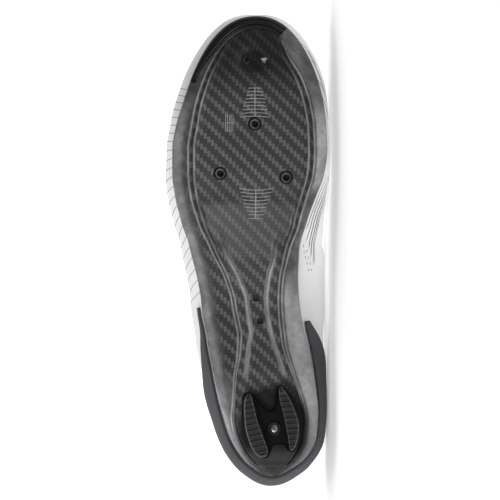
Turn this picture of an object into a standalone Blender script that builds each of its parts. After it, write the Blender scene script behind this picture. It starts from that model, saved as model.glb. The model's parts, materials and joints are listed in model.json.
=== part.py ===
"""A road-cycling shoe, right foot, lying on its medial side.

Every piece is modelled upright, as the shoe stands on a floor: the heel is at x = 0, the toe at +X, the
medial side at +Y and the floor at z = 0. An empty then lays the whole shoe down on its medial side.
Tables hold shares of the named sizes, one row for each place along the shoe.
"""

import math

import bmesh
import bpy
import numpy as np
from mathutils import Matrix, Vector

# Overall sizes, in metres
SHOE_LENGTH = 0.265
SOLE_WIDTH = 0.0867
SOLE_HEEL_WIDTH = 0.0542
HEEL_OVERHANG = 0.0056
TOE_OVERHANG = 0.0010
CLEARANCE = 0.0003

# Outsole: heights of its underside over the floor, and its relief
HEEL_LIFT = 0.0090
ARCH_LIFT = 0.0085
TOE_SPRING = 0.0190
PLATE = 0.0022
FLANGE_RISE = 0.0068
RIM_HEIGHT = 0.0020
RIM_WIDTH = 0.0032
RIDGE_HEIGHT = 0.0011
RIDGE_WIDTH = 0.0022
RIDGE_GAP = 0.0032
CHANNEL_DEPTH = 0.0011
RECESS_DEPTH = 0.0010
SCOOP_DEPTH = 0.0011
SCOOP_LENGTH = 0.0190
SCOOP_WIDTH = 0.0220

# Vents through the outsole
TOE_VENT = 0.0032
TOE_VENT_SPACING = 0.0096
MIDFOOT_VENT = 0.0036
MIDFOOT_VENT_SPACING = 0.0129
MIDFOOT_VENT_SKEW = 0.0011

# Bolt seats
BOLT_TRIANGLE_WIDTH = 0.0369
BOLT_TRIANGLE_HEIGHT = 0.0288
INSERT_BORE = 0.0039
INSERT_DIAMETER = 0.0057
RING_DIAMETER = 0.0076
INSERT_PROUD = 0.0004

# Toe bumper
BUMPER_WIDTH = 0.0074
BUMPER_STEP = 0.0009

# Heel pad
PAD_LENGTH = 0.0397
PAD_WIDTH = 0.0321
PAD_BASE = 0.0032
PAD_RIB_DEPTH = 0.0009
PAD_RIB_PITCH = 0.0030
PAD_DRAFT = 0.0011
PAD_RIBS = 10
FIRST_RIB = 0.0016
BOSS_DIAMETER = 0.0076
BOSS_HEIGHT = 0.0010
BOSS_BEVEL = 0.0003
SCREW_HEAD = 0.0046
SCREW_SHANK = 0.0028
SCREW_HEAD_HEIGHT = 0.0015

# Upper and what is on it
UPPER_WALL = 0.0018
FOOT_INSET = 0.0008
ARCH_BULGE = 0.0148
WAIST_HEIGHT = 0.0280
INSTEP_HEIGHT = 0.0910
HEEL_HEIGHT = 0.0960
COLLAR_WIDTH = 0.0530
COUNTER_THICKNESS = 0.0015
COUNTER_RISE = 0.0365
INSOLE_THICKNESS = 0.0030
TONGUE_THICKNESS = 0.0036
TONGUE_TAB = 0.0240
STRAP_THICKNESS = 0.0016
STRAP_WIDTH = 0.0150
INSTEP_STRAP_WIDTH = 0.0220

# What follows from the sizes: lengths, and wider clearances where two curved faces meet
SOLE_BACK = HEEL_OVERHANG
SOLE_LENGTH = SHOE_LENGTH - HEEL_OVERHANG - TOE_OVERHANG
CURVED_CLEARANCE = CLEARANCE * 1.5
TONGUE_CLEARANCE = CLEARANCE * 2
COUNTER_CLEARANCE = CLEARANCE * 2.4
LATERAL, MEDIAL = "lateral", "medial"

# Shares of the sole's width: the dish inside the rim, and where the hollow round the toe vents has its middle
DISH_SLOPE = 0.12
SCOOP_ALONG = 0.90
SCOOP_ACROSS = 0.48

# Sole outline seen from below.
# along (share of sole length), lateral and medial edge (shares of the width there)
SOLE_OUTLINE = (
    (0.000, 0.175, 0.175),
    (0.015, 0.000, 0.371),
    (0.033, -0.103, 0.495),
    (0.084, -0.258, 0.639),
    (0.137, -0.340, 0.660),
    (0.188, -0.397, 0.639),
    (0.240, -0.443, 0.598),
    (0.292, -0.490, 0.541),
    (0.344, -0.511, 0.462),
    (0.396, -0.473, 0.379),
    (0.448, -0.448, 0.325),
    (0.500, -0.443, 0.302),
    (0.552, -0.477, 0.335),
    (0.604, -0.516, 0.390),
    (0.656, -0.535, 0.445),
    (0.708, -0.535, 0.465),
    (0.760, -0.510, 0.458),
    (0.812, -0.465, 0.439),
    (0.864, -0.413, 0.400),
    (0.916, -0.342, 0.335),
    (0.968, -0.226, 0.226),
    (0.996, -0.084, 0.090),
    (1.000, 0.006, 0.006),
)

# Underside along the centre.
# along, shares of the heel lift, of the arch lift, of the toe spring and of the flange rise
SOLE_PROFILE = (
    (0.00, 1.25, 0.00, 0.00, 0.85),
    (0.05, 1.00, 0.00, 0.00, 0.95),
    (0.20, 1.00, 0.00, 0.00, 1.00),
    (0.30, 0.88, 0.45, 0.00, 1.10),
    (0.40, 0.62, 0.95, 0.00, 1.15),
    (0.50, 0.30, 0.85, 0.00, 1.05),
    (0.60, 0.06, 0.25, 0.00, 0.80),
    (0.68, 0.00, 0.00, 0.00, 0.65),
    (0.76, 0.00, 0.00, 0.03, 0.60),
    (0.85, 0.00, 0.00, 0.24, 0.60),
    (0.93, 0.00, 0.00, 0.58, 0.60),
    (1.00, 0.00, 0.00, 1.00, 0.60),
)

# Ridges of the underside, as shares across from the lateral (0) to the medial edge (1).
# along, lateral outer ridge, channel's lateral wall, channel's medial wall, medial outer ridge
RIDGE_LINES = (
    (0.00, 0.200, 0.40, 0.60, 0.800),
    (0.08, 0.080, 0.30, 0.66, 0.859),
    (0.12, 0.091, 0.28, 0.70, 0.870),
    (0.16, 0.141, 0.28, 0.72, 0.853),
    (0.22, 0.208, 0.322, 0.703, 0.802),
    (0.28, 0.293, 0.400, 0.668, 0.777),
    (0.32, 0.322, 0.462, 0.655, 0.797),
    (0.38, 0.312, 0.468, 0.663, 0.820),
    (0.43, 0.275, 0.415, 0.705, 0.850),
    (0.49, 0.194, 0.323, 0.776, 0.908),
    (0.54, 0.143, 0.29, 0.77, 0.940),
    (0.60, 0.116, 0.30, 0.74, 0.934),
    (0.65, 0.107, 0.31, 0.72, 0.928),
    (0.71, 0.103, 0.32, 0.71, 0.918),
    (0.76, 0.103, 0.33, 0.70, 0.916),
    (0.81, 0.093, 0.33, 0.70, 0.902),
    (0.86, 0.100, 0.34, 0.68, 0.876),
    (0.92, 0.130, 0.36, 0.66, 0.805),
    (1.00, 0.200, 0.40, 0.60, 0.780),
)

# Ribs of the upper, from its foot on the sole to its top line.
# along (foot), top's place (share of shoe length), top's height (share of the height there), crest line
# (share of sole width), turn in degrees, then for the lateral and the medial side the half gap at the top
# (share of collar width), the bulge past the foot (share of arch bulge) and the waist's height
# (share of waist height)
UPPER_RIBS = (
    (0.000, 0.036, 1.000, 0.110, 38, 0.000, 0.31, 0.57, 0.000, 0.31, 0.57),
    (0.015, 0.044, 0.993, 0.109, 37, 0.135, 0.33, 0.57, 0.135, 0.29, 0.57),
    (0.050, 0.066, 0.955, 0.107, 36, 0.262, 0.34, 0.57, 0.262, 0.24, 0.57),
    (0.120, 0.130, 0.862, 0.104, 33, 0.410, 0.36, 0.61, 0.415, 0.23, 0.61),
    (0.200, 0.210, 0.790, 0.096, 33, 0.490, 0.46, 0.64, 0.500, 0.33, 0.78),
    (0.280, 0.290, 0.800, 0.081, 39, 0.480, 0.52, 0.64, 0.490, 0.65, 1.04),
    (0.350, 0.362, 0.895, 0.064, 50, 0.395, 0.49, 0.68, 0.400, 0.97, 1.20),
    (0.410, 0.418, 0.985, 0.046, 63, 0.275, 0.46, 0.68, 0.275, 1.04, 1.24),
    (0.470, 0.476, 0.934, 0.032, 70, 0.217, 0.42, 0.64, 0.217, 1.04, 1.18),
    (0.540, 0.542, 0.846, 0.017, 74, 0.190, 0.36, 0.57, 0.190, 0.78, 0.95),
    (0.600, 0.600, 0.769, 0.006, 78, 0.162, 0.35, 0.50, 0.162, 0.50, 0.71),
    (0.640, 0.637, 0.726, 0.000, 82, 0.130, 0.33, 0.47, 0.130, 0.30, 0.59),
    (0.662, 0.657, 0.708, -0.004, 86, 0.085, 0.32, 0.46, 0.085, 0.24, 0.53),
    (0.680, 0.673, 0.698, -0.006, 90, 0.000, 0.30, 0.45, 0.000, 0.19, 0.50),
    (0.740, 0.712, 0.662, -0.012, 90, 0.000, 0.29, 0.43, 0.000, 0.14, 0.43),
    (0.800, 0.743, 0.638, -0.017, 90, 0.000, 0.35, 0.43, 0.000, 0.20, 0.43),
    (0.860, 0.768, 0.617, -0.015, 90, 0.000, 0.34, 0.41, 0.000, 0.28, 0.39),
    (0.920, 0.788, 0.600, -0.012, 90, 0.000, 0.29, 0.39, 0.000, 0.27, 0.38),
    (0.970, 0.800, 0.590, -0.006, 90, 0.000, 0.26, 0.38, 0.000, 0.24, 0.37),
    (1.000, 0.806, 0.586, 0.002, 90, 0.000, 0.12, 0.36, 0.000, 0.12, 0.36),
)
FIRST_SIDE_COLUMN = {LATERAL: 5, MEDIAL: 8}
WAIST_SHARE = 0.26

# Heel counter: how far forward it reaches on each side, and its two edges (shares of a rib of the upper)
COUNTER_ENDS = {LATERAL: 0.366, MEDIAL: 0.335}
COUNTER_FOOT = 0.02
COUNTER_TIP = 0.04
COUNTER_TAPERS = {LATERAL: 2.0, MEDIAL: 1.1}
# Tongue: its places along the sole from the vamp back, and its free tab (share of tab length, of its width)
TONGUE_PLACES = (0.735, 0.705, 0.680, 0.650, 0.615, 0.575, 0.535, 0.495, 0.455, 0.418)
TONGUE_TAB_SHAPE = ((0.30, 0.88), (0.75, 0.74), (1.0, 0.56))
# Straps: place along the sole
STRAP_PLACES = {"strap_front": 0.618, "strap_middle": 0.540, "strap_instep": 0.452}

# Toe bumper: where its two ends are along the sole, and its width at the lateral end (share of its width)
BUMPER_ENDS = {LATERAL: 0.856, MEDIAL: 0.974}
BUMPER_END_SHARE = 0.45
BUMPER_STATIONS = 12
# Steps across the bumper, from its inner edge: across (share of its width), height (share of a step)
BUMPER_STEPS = (
    (0.00, 0.3), (0.04, 1.0), (0.20, 1.1), (0.23, 0.4), (0.34, 0.4), (0.38, 1.2), (0.56, 1.3), (0.60, 0.6),
    (0.72, 0.6), (0.76, 1.2), (0.90, 1.1), (0.97, 0.7), (1.00, 0.0),
)

# Lugs of the heel pad, about its screw: along (share of pad length), left and right edge (shares of width)
LATERAL_LUG = (
    (0.501, -0.470, -0.420),
    (0.440, -0.530, -0.370),
    (0.346, -0.545, -0.341),
    (0.093, -0.533, -0.267),
    (-0.141, -0.463, -0.167),
    (-0.344, -0.336, -0.087),
    (-0.400, -0.240, -0.120),
)
MEDIAL_LUG = (
    (0.600, 0.085, 0.135),
    (0.540, 0.055, 0.195),
    (0.440, 0.062, 0.275),
    (0.241, 0.125, 0.385),
    (0.023, 0.181, 0.450),
    (-0.076, 0.206, 0.444),
    (-0.259, 0.242, 0.385),
    (-0.308, 0.268, 0.330),
)
LUG_SLANT = {LATERAL: 0.22, MEDIAL: 0.05}
# One rib of a lug: place (share of the rib pitch), height under the tread (share of the rib depth)
LUG_RIB = ((0.00, 0.0), (0.62, 0.0), (0.68, 1.0), (0.94, 1.0))
# Nose of a lug: place (share of the nose), height over the floor (share of the pad's base)
LUG_NOSE = ((0.45, 0.13), (0.85, 0.50), (1.00, 0.94))
# Outline of the pad's base: along and across, in the same shares as the lugs
PAD_OUTLINE = (
    (0.530, -0.450), (0.455, -0.550), (0.345, -0.565), (0.090, -0.553), (-0.140, -0.485), (-0.340, -0.360),
    (-0.420, -0.240), (-0.420, -0.105), (-0.340, -0.060), (-0.231, -0.020), (-0.231, 0.170), (-0.330, 0.250),
    (-0.330, 0.345), (-0.260, 0.405), (-0.080, 0.458), (0.030, 0.462), (0.245, 0.400), (0.445, 0.295),
    (0.550, 0.215), (0.630, 0.120), (0.560, 0.025), (0.275, 0.005), (0.240, -0.050), (0.245, -0.130),
    (0.475, -0.350),
)

# Colour, roughness, metallic value and density (kg to the cubic metre) of each material
MATERIALS = {
    "carbon": ((0.045, 0.047, 0.050), 0.28, 0.0, 1500),
    "black_rubber": ((0.012, 0.012, 0.013), 0.62, 0.0, 1150),
    "black_plastic": ((0.010, 0.010, 0.011), 0.45, 0.0, 1150),
    "steel": ((0.42, 0.42, 0.43), 0.30, 1.0, 7800),
    "white_microfibre": ((0.86, 0.86, 0.85), 0.50, 0.0, 1000),
    "grey_shell": ((0.09, 0.092, 0.096), 0.42, 0.0, 1150),
    "black_lining": ((0.020, 0.020, 0.022), 0.85, 0.0, 400),
    "white_strap": ((0.82, 0.82, 0.81), 0.55, 0.0, 1000),
}


def curve(points, values, at):
    """A smooth curve through the values that never swings past them, read at a place."""
    points = np.asarray(points, float)
    values = np.asarray(values, float)
    steps = np.diff(points)
    slopes = np.diff(values) / steps
    tangents = np.zeros(len(points))
    tangents[0] = slopes[0]
    tangents[-1] = slopes[-1]
    both = slopes[:-1] * slopes[1:]
    same_way = both > 0
    tangents[1:-1][same_way] = 2 * both[same_way] / (slopes[:-1] + slopes[1:])[same_way]
    index = int(np.clip(np.searchsorted(points, at) - 1, 0, len(steps) - 1))
    step = steps[index]
    u = (at - points[index]) / step
    start = (1 + 2 * u) * (1 - u) ** 2 * values[index] + u * (1 - u) ** 2 * step * tangents[index]
    end = u * u * (3 - 2 * u) * values[index + 1] - u * u * (1 - u) * step * tangents[index + 1]
    return float(start + end)


def round_share(along):
    """A share along the sole as a share of a half turn, so that both ends of the outline come out round."""
    return math.acos(1 - 2 * min(max(along, 0.0), 1.0)) / math.pi


def column(table, number, along):
    places = [round_share(row[0]) for row in table]
    values = [row[number] for row in table]
    return curve(places, values, round_share(along))


def ease(start, end, value):
    share = min(max((value - start) / (end - start), 0.0), 1.0)
    return share * share * (3 - 2 * share)


def stations(count, extra=()):
    """Shares along the sole, close together at its round ends, with some extra ones."""
    shares = {round((1 - math.cos(math.pi * i / count)) / 2, 6) for i in range(count + 1)}
    near = 0.25 / count
    kept = {share for share in shares if all(abs(share - other) > near for other in extra)}
    return sorted(kept | set(extra))


def along_of(x):
    return (x - SOLE_BACK) / SOLE_LENGTH


def width_at(along):
    return SOLE_HEEL_WIDTH + (SOLE_WIDTH - SOLE_HEEL_WIDTH) * ease(0.30, 0.55, along)


def edge(side, along):
    number = 1 if side == LATERAL else 2
    return np.array((SOLE_BACK + along * SOLE_LENGTH, column(SOLE_OUTLINE, number, along) * width_at(along)))


def outward(side, along):
    """The outline's normal in plan, pointing away from the shoe."""
    turn = round_share(along)
    step = 0.004
    before = (1 - math.cos(math.pi * max(turn - step, 0.0))) / 2
    after = (1 - math.cos(math.pi * min(turn + step, 1.0))) / 2
    run = edge(side, after) - edge(side, before)
    if turn < step or turn > 1 - step:
        return np.array((-1.0 if turn < step else 1.0, 0.0))
    run /= np.linalg.norm(run)
    return np.array((run[1], -run[0])) if side == LATERAL else np.array((-run[1], run[0]))


def across_of(point):
    along = along_of(point[0])
    low = edge(LATERAL, along)[1]
    high = edge(MEDIAL, along)[1]
    return (point[1] - low) / max(high - low, 1e-6)


def plate_height(along):
    """The underside of the plate over the floor, between the ridges."""
    heel, arch, toe = (column(SOLE_PROFILE, number, along) for number in (1, 2, 3))
    return HEEL_LIFT * heel + ARCH_LIFT * arch + TOE_SPRING * toe


def flange_rise(along):
    return FLANGE_RISE * column(SOLE_PROFILE, 4, along)


def rim_top(along):
    return plate_height(along) + flange_rise(along) + RIM_HEIGHT


def end_part(along, reach):
    """0 along the sole, rising to 1 at its two ends."""
    front = max((along - (1 - reach)) / reach, 0.0)
    back = max((reach - along) / reach, 0.0)
    return min(max(front, back), 1.0) ** 2


def flange_part(along, across):
    """0 on the plate, rising to 1 at the sole's edge."""
    lateral = column(RIDGE_LINES, 1, along)
    medial = column(RIDGE_LINES, 4, along)
    side = max(1 - across / lateral, (across - medial) / (1 - medial), 0.0)
    return 1 - (1 - min(side, 1.0) ** 1.6) * (1 - end_part(along, 0.07))


def scoop(along, across):
    """How far the hollow round the toe vents rises into the plate."""
    low, high = edge(LATERAL, SCOOP_ALONG)[1], edge(MEDIAL, SCOOP_ALONG)[1]
    centre = low * (1 - SCOOP_ACROSS) + high * SCOOP_ACROSS
    y = edge(LATERAL, along)[1] * (1 - across) + edge(MEDIAL, along)[1] * across
    ahead = (along - SCOOP_ALONG) * SOLE_LENGTH
    reach = math.hypot(ahead * 2 / SCOOP_LENGTH, (y - centre) * 2 / SCOOP_WIDTH)
    return SCOOP_DEPTH * ease(1.0, 0.55, reach)


def underside(along, across, relief=0.0):
    rise = flange_rise(along) * flange_part(along, across)
    return plate_height(along) + rise + relief + scoop(along, across)


def rim_share(width):
    """The flat rim as a share across, narrowed where the sole's ends close."""
    return min(RIM_WIDTH / width, 0.3)


def topside(along, across):
    """The outsole's upper face: a flat rim, then a dish down to the plate."""
    width = max(edge(MEDIAL, along)[1] - edge(LATERAL, along)[1], 1e-6)
    rim = rim_share(width)
    foot = rim + DISH_SLOPE
    side = max((foot - across) / (foot - rim), (across - 1 + foot) / (foot - rim), 0.0)
    wall = max(min(side, 1.0), min(end_part(along, 0.09) * 2, 1.0))
    return plate_height(along) + PLATE + (flange_rise(along) + RIM_HEIGHT - PLATE) * wall


def sole_section(along):
    """One closed section of the outsole: the underside from lateral to medial, then the upper face back."""
    width = max(edge(MEDIAL, along)[1] - edge(LATERAL, along)[1], 1e-6)
    lateral, wall_l, wall_m, medial = (column(RIDGE_LINES, number, along) for number in (1, 2, 3, 4))
    fade = ease(0.02, 0.12, along) * ease(0.97, 0.88, along)
    channel = ease(0.20, 0.27, along) * ease(0.53, 0.46, along)
    recess = ease(0.018, 0.036, along) * ease(0.234, 0.212, along)
    half = min(RIDGE_WIDTH / 2 / width, lateral * 0.3)
    spread = 0.25 + 0.35 * ease(0.20, 0.32, along) + 0.40 * ease(0.42, 0.60, along)
    pair = min(RIDGE_GAP * spread / width, 0.06)
    low = -RIDGE_HEIGHT * fade
    floor = RECESS_DEPTH * recess
    groove = CHANNEL_DEPTH * channel + floor
    lip = floor - RIDGE_HEIGHT * 0.7 * channel
    inner_l = lateral + pair + half
    inner_m = medial - pair - half
    columns = (
        (0.0, 0.0), (lateral * 0.5, 0.0), (lateral - half, 0.0),
        (lateral, low), (lateral + pair / 2, low * 0.3), (lateral + pair, low),
        (inner_l, floor), ((inner_l + wall_l) / 2, floor), (wall_l, lip),
        (wall_l + half, groove), ((wall_l + wall_m) / 2, groove), (wall_m - half, groove),
        (wall_m, lip), ((wall_m + inner_m) / 2, floor), (inner_m, floor),
        (medial - pair, low), (medial - pair / 2, low * 0.3), (medial, low),
        (medial + half, 0.0), ((1 + medial) / 2, 0.0), (1.0, 0.0),
    )
    rim = rim_share(width)
    foot = rim + DISH_SLOPE
    shares = (1.0, 1 - rim, 1 - foot, 0.5, foot, rim, 0.0)
    y_low = edge(LATERAL, along)[1]
    x = SOLE_BACK + along * SOLE_LENGTH
    below = [(x, y_low + width * share, underside(along, share, relief)) for share, relief in columns]
    above = [(x, y_low + width * share, topside(along, share)) for share in shares]
    return below + above


def upper_point(side, along, share):
    """A point on the upper's outer face: share 0 is its foot on the sole, 1 its top line."""
    top_x, top_z, crest, turn = (column(UPPER_RIBS, number, along) for number in (1, 2, 3, 4))
    first = FIRST_SIDE_COLUMN[side]
    gap, bulge, waist = (column(UPPER_RIBS, number, along) for number in (first, first + 1, first + 2))
    height = HEEL_HEIGHT + (INSTEP_HEIGHT - HEEL_HEIGHT) * ease(0.15, 0.41, along)
    sign = -1 if side == LATERAL else 1
    top = np.array((top_x * SHOE_LENGTH, crest * SOLE_WIDTH + sign * gap * COLLAR_WIDTH))
    away = outward(side, along)
    foot = edge(side, along) - away * FOOT_INSET
    foot_z = rim_top(along) + CLEARANCE
    widest = foot + away * bulge * ARCH_BULGE
    widest_z = foot_z + waist * WAIST_HEIGHT
    if share < WAIST_SHARE:
        part = share / WAIST_SHARE
        flat = foot + (widest - foot) * math.sin(part * math.pi / 2)
        return np.array((flat[0], flat[1], foot_z + (widest_z - foot_z) * part))
    last = math.radians(turn)
    angle = last * (share - WAIST_SHARE) / (1 - WAIST_SHARE)
    flat = top + (widest - top) * (math.cos(angle) - math.cos(last)) / (1 - math.cos(last))
    z = widest_z + (top_z * height - widest_z) * math.sin(angle) / math.sin(last)
    return np.array((flat[0], flat[1], z))


def over_crest(along, from_lateral, to_medial, count):
    """Evenly spaced points over the instep, along one rib and down the other, bridging the throat."""
    lateral = [upper_point(LATERAL, along, s) for s in np.linspace(from_lateral, 1, 9)]
    medial = [upper_point(MEDIAL, along, s) for s in np.linspace(1, to_medial, 9)]
    gap = medial[0] - lateral[-1]
    bridge = []
    if np.linalg.norm(gap) > 1e-5:
        leave = lateral[-1] - upper_point(LATERAL, along, 0.97)
        arrive = upper_point(MEDIAL, along, 0.97) - medial[0]
        leave *= np.linalg.norm(gap) / np.linalg.norm(leave)
        arrive *= np.linalg.norm(gap) / np.linalg.norm(arrive)
        for u in np.linspace(0, 1, 9)[1:-1]:
            near = (1 + 2 * u) * (1 - u) ** 2 * lateral[-1] + u * (1 - u) ** 2 * leave
            far = u * u * (3 - 2 * u) * medial[0] - u * u * (1 - u) * arrive
            bridge.append(near + far)
    else:
        medial = medial[1:]
    path = np.array(lateral + bridge + medial)
    runs = np.concatenate(([0.0], np.cumsum(np.linalg.norm(np.diff(path, axis=0), axis=1))))
    places = np.linspace(0, runs[-1], count)
    return np.stack([np.interp(places, runs, path[:, axis]) for axis in range(3)], axis=1)


def inside_of(point):
    """A place inside the shoe, level with a point on it."""
    return np.array((min(max(point[0], SHOE_LENGTH * 0.2), SHOE_LENGTH * 0.8), 0.0, HEEL_HEIGHT / 3))


def moved_out(grid, distance):
    """A grid of points on the upper's outer face, moved away from the shoe along its normals."""
    rows = np.gradient(grid, axis=0)
    columns = np.gradient(grid, axis=1)
    normals = np.cross(rows, columns)
    normals /= np.linalg.norm(normals, axis=2, keepdims=True)
    middle = grid[len(grid) // 2, grid.shape[1] // 2]
    if np.dot(normals[len(grid) // 2, grid.shape[1] // 2], middle - inside_of(middle)) < 0:
        normals = -normals
    return grid + normals * distance


def material_named(name):
    found = bpy.data.materials.get(name)
    if found:
        return found
    colour, roughness, metallic, _ = MATERIALS[name]
    made = bpy.data.materials.new(name)
    made.use_nodes = True
    shader = made.node_tree.nodes["Principled BSDF"]
    shader.inputs["Base Color"].default_value = (*colour, 1.0)
    shader.inputs["Roughness"].default_value = roughness
    shader.inputs["Metallic"].default_value = metallic
    made.diffuse_color = (*colour, 1.0)
    return made


def add_object(name, mesh_data, material, parent):
    """An object from a bmesh, with its faces out and its round parts shaded smooth."""
    mesh = bpy.data.meshes.new(name)
    mesh_data.to_mesh(mesh)
    mesh_data.free()
    mesh.shade_smooth()
    mesh.set_sharp_from_angle(angle=math.radians(35))
    item = bpy.data.objects.new(name, mesh)
    bpy.context.scene.collection.objects.link(item)
    if material:
        mesh.materials.append(material_named(material))
    item.parent = parent
    return item


def lofted(sections, caps):
    """A closed body through closed sections with the same number of points each."""
    made = bmesh.new()
    rings = [[made.verts.new(point) for point in section] for section in sections]
    for here, there in zip(rings, rings[1:]):
        for i, corner in enumerate(here):
            after = (i + 1) % len(here)
            made.faces.new((corner, here[after], there[after], there[i]))
    if caps:
        made.faces.new(rings[0])
        made.faces.new(rings[-1])
    bmesh.ops.remove_doubles(made, verts=made.verts, dist=5e-6)
    bmesh.ops.dissolve_degenerate(made, dist=1e-8, edges=made.edges)
    bmesh.ops.recalc_face_normals(made, faces=made.faces)
    return made


def sheet(name, grid, thickness, side, material, parent):
    """A sheet with a real thickness on one side (1 outer, -1 inner) of a grid of points."""
    made = bmesh.new()
    corners = [[made.verts.new(point) for point in row] for row in grid]
    for here, there in zip(corners, corners[1:]):
        for i in range(len(here) - 1):
            made.faces.new((here[i], here[i + 1], there[i + 1], there[i]))
    made.faces.ensure_lookup_table()
    probe = made.faces[len(made.faces) // 2]
    probe.normal_update()
    centre = probe.calc_center_median()
    if probe.normal.dot(centre - Vector(inside_of(centre))) < 0:
        bmesh.ops.reverse_faces(made, faces=made.faces)
    item = add_object(name, made, material, parent)
    add_wall(item, thickness, side)
    return item


def add_wall(item, thickness, side):
    wall = item.modifiers.new("wall", "SOLIDIFY")
    wall.thickness = thickness
    wall.offset = side
    wall.use_even_offset = True
    wall.use_rim = True


def cut(item, cutter):
    step = item.modifiers.new(cutter.name, "BOOLEAN")
    step.operation = "DIFFERENCE"
    step.solver = "EXACT"
    step.object = cutter


def join(item, other):
    step = item.modifiers.new(other.name, "BOOLEAN")
    step.operation = "UNION"
    step.solver = "EXACT"
    step.object = other


def hidden_tool(name, mesh_data, parent):
    item = add_object(name, mesh_data, None, parent)
    item.hide_render = True
    item.display_type = "WIRE"
    return item


def cylinder(radius, low, high, centre, sides=20, bevel=0.0):
    made = bmesh.new()
    bmesh.ops.create_cone(
        made, cap_ends=True, segments=sides, radius1=radius, radius2=radius, depth=high - low,
        matrix=Matrix.Translation((centre[0], centre[1], (low + high) / 2)),
    )
    if bevel:
        rim = [e for e in made.edges if all(v.co.z < (low + high) / 2 for v in e.verts)]
        bmesh.ops.bevel(
            made, geom=rim, offset=bevel, segments=1, affect="EDGES", profile=0.5, material=-1,
        )
    return made


def tube(radius, bore, low, high, centre, sides=24):
    """A ring with a square section, its axis upright."""
    made = bmesh.new()
    section = [(bore, low), (radius, low), (radius, high), (bore, high)]
    corners = [made.verts.new((centre[0] + r, centre[1], z)) for r, z in section]
    edges = [made.edges.new((a, b)) for a, b in zip(corners, corners[1:] + corners[:1])]
    bmesh.ops.spin(
        made, geom=corners + edges, cent=(centre[0], centre[1], 0), axis=(0, 0, 1), angle=2 * math.pi,
        steps=sides, use_merge=True,
    )
    bmesh.ops.recalc_face_normals(made, faces=made.faces)
    return made


def box(size, centre):
    made = bmesh.new()
    bmesh.ops.create_cube(made, size=1.0, matrix=Matrix.Translation(centre) @ Matrix.Diagonal((*size, 1)))
    return made


# Bolts, pad and vents: their places in plan
FRONT_BOLT = np.array((SOLE_BACK + 0.7635 * SOLE_LENGTH, -0.003 * SOLE_WIDTH))
REAR_BOLT_MIDDLE = FRONT_BOLT + np.array((-BOLT_TRIANGLE_HEIGHT, -0.010 * SOLE_WIDTH))
REAR_BOLT_SKEW = 0.06
PAD_CENTRE = np.array((SOLE_BACK + 0.1048 * SOLE_LENGTH, 0.202 * SOLE_HEEL_WIDTH))
TOE_VENTS = np.array((SOLE_BACK + 0.9030 * SOLE_LENGTH, 0.001 * SOLE_WIDTH))
MIDFOOT_VENTS = np.array((SOLE_BACK + 0.3615 * SOLE_LENGTH, 0.0193 * SOLE_WIDTH))


def bolt_places():
    """The three bolts of the road pattern, with the rear pair turned a little, as the foot lies."""
    half = BOLT_TRIANGLE_WIDTH / 2
    rear = {
        side: REAR_BOLT_MIDDLE + half * sign * np.array((-math.sin(REAR_BOLT_SKEW), math.cos(REAR_BOLT_SKEW)))
        for side, sign in ((LATERAL, -1), (MEDIAL, 1))
    }
    return {"front": FRONT_BOLT, LATERAL: rear[LATERAL], MEDIAL: rear[MEDIAL]}


def bolt_levels(centre):
    """Lower and upper end of an insert, flush with the plate's two faces where the bolt is."""
    along = along_of(centre[0])
    low = underside(along, across_of(centre)) - INSERT_PROUD
    return low, low + INSERT_PROUD + PLATE


def bumper_stations():
    """The places of the bumper round the toe, from its lateral to its medial end, with its width there."""
    count = BUMPER_STATIONS
    start, end = (round_share(BUMPER_ENDS[side]) for side in (LATERAL, MEDIAL))
    lateral = [(LATERAL, turn) for turn in np.linspace(start, 1, count)]
    medial = [(MEDIAL, turn) for turn in np.linspace(1, end, count // 2)[1:]]
    places = []
    for number, (side, turn) in enumerate(lateral + medial):
        along = (1 - math.cos(math.pi * turn)) / 2
        grown = BUMPER_END_SHARE + (1 - BUMPER_END_SHARE) * ease(0, 0.4 * count, number)
        places.append((side, along, BUMPER_WIDTH * grown))
    return places


def make_bumper_space(parent):
    """What the bumper takes from the outsole, out past its edge."""
    sections = []
    for side, along, width in bumper_stations():
        away = outward(side, along)
        outer = edge(side, along) + away * BUMPER_WIDTH
        inner = edge(side, along) - away * width
        low, high = -HEEL_LIFT, HEEL_HEIGHT / 2
        sections.append([(*inner, low), (*outer, low), (*outer, high), (*inner, high)])
    return hidden_tool("bumper_space", lofted(sections, caps=True), parent)


def make_bumper(parent):
    """Stepped rubber round the toe, in the space cut from the outsole."""
    places = bumper_stations()
    sections = []
    for number, (side, along, width) in enumerate(places):
        if number in (0, len(places) - 1):
            along += CURVED_CLEARANCE / SOLE_LENGTH
        away = outward(side, along)
        outer = edge(side, along)
        inner = outer - away * (width - CLEARANCE)
        low_line = []
        for share, step in BUMPER_STEPS:
            spot = inner + (outer - inner) * share
            along_here = along_of(spot[0])
            base = underside(along_here, min(max(across_of(spot), 0.0), 1.0))
            low_line.append((*spot, base - step * BUMPER_STEP))
        top = []
        for share in (1.0, 0.6, 0.3, 0.0):
            spot = inner + (outer - inner) * share
            top.append((*spot, topside(along_of(spot[0]), min(max(across_of(spot), 0.0), 1.0))))
        sections.append(low_line + top)
    return add_object("toe_bumper", lofted(sections, caps=True), "black_rubber", parent)


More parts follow.
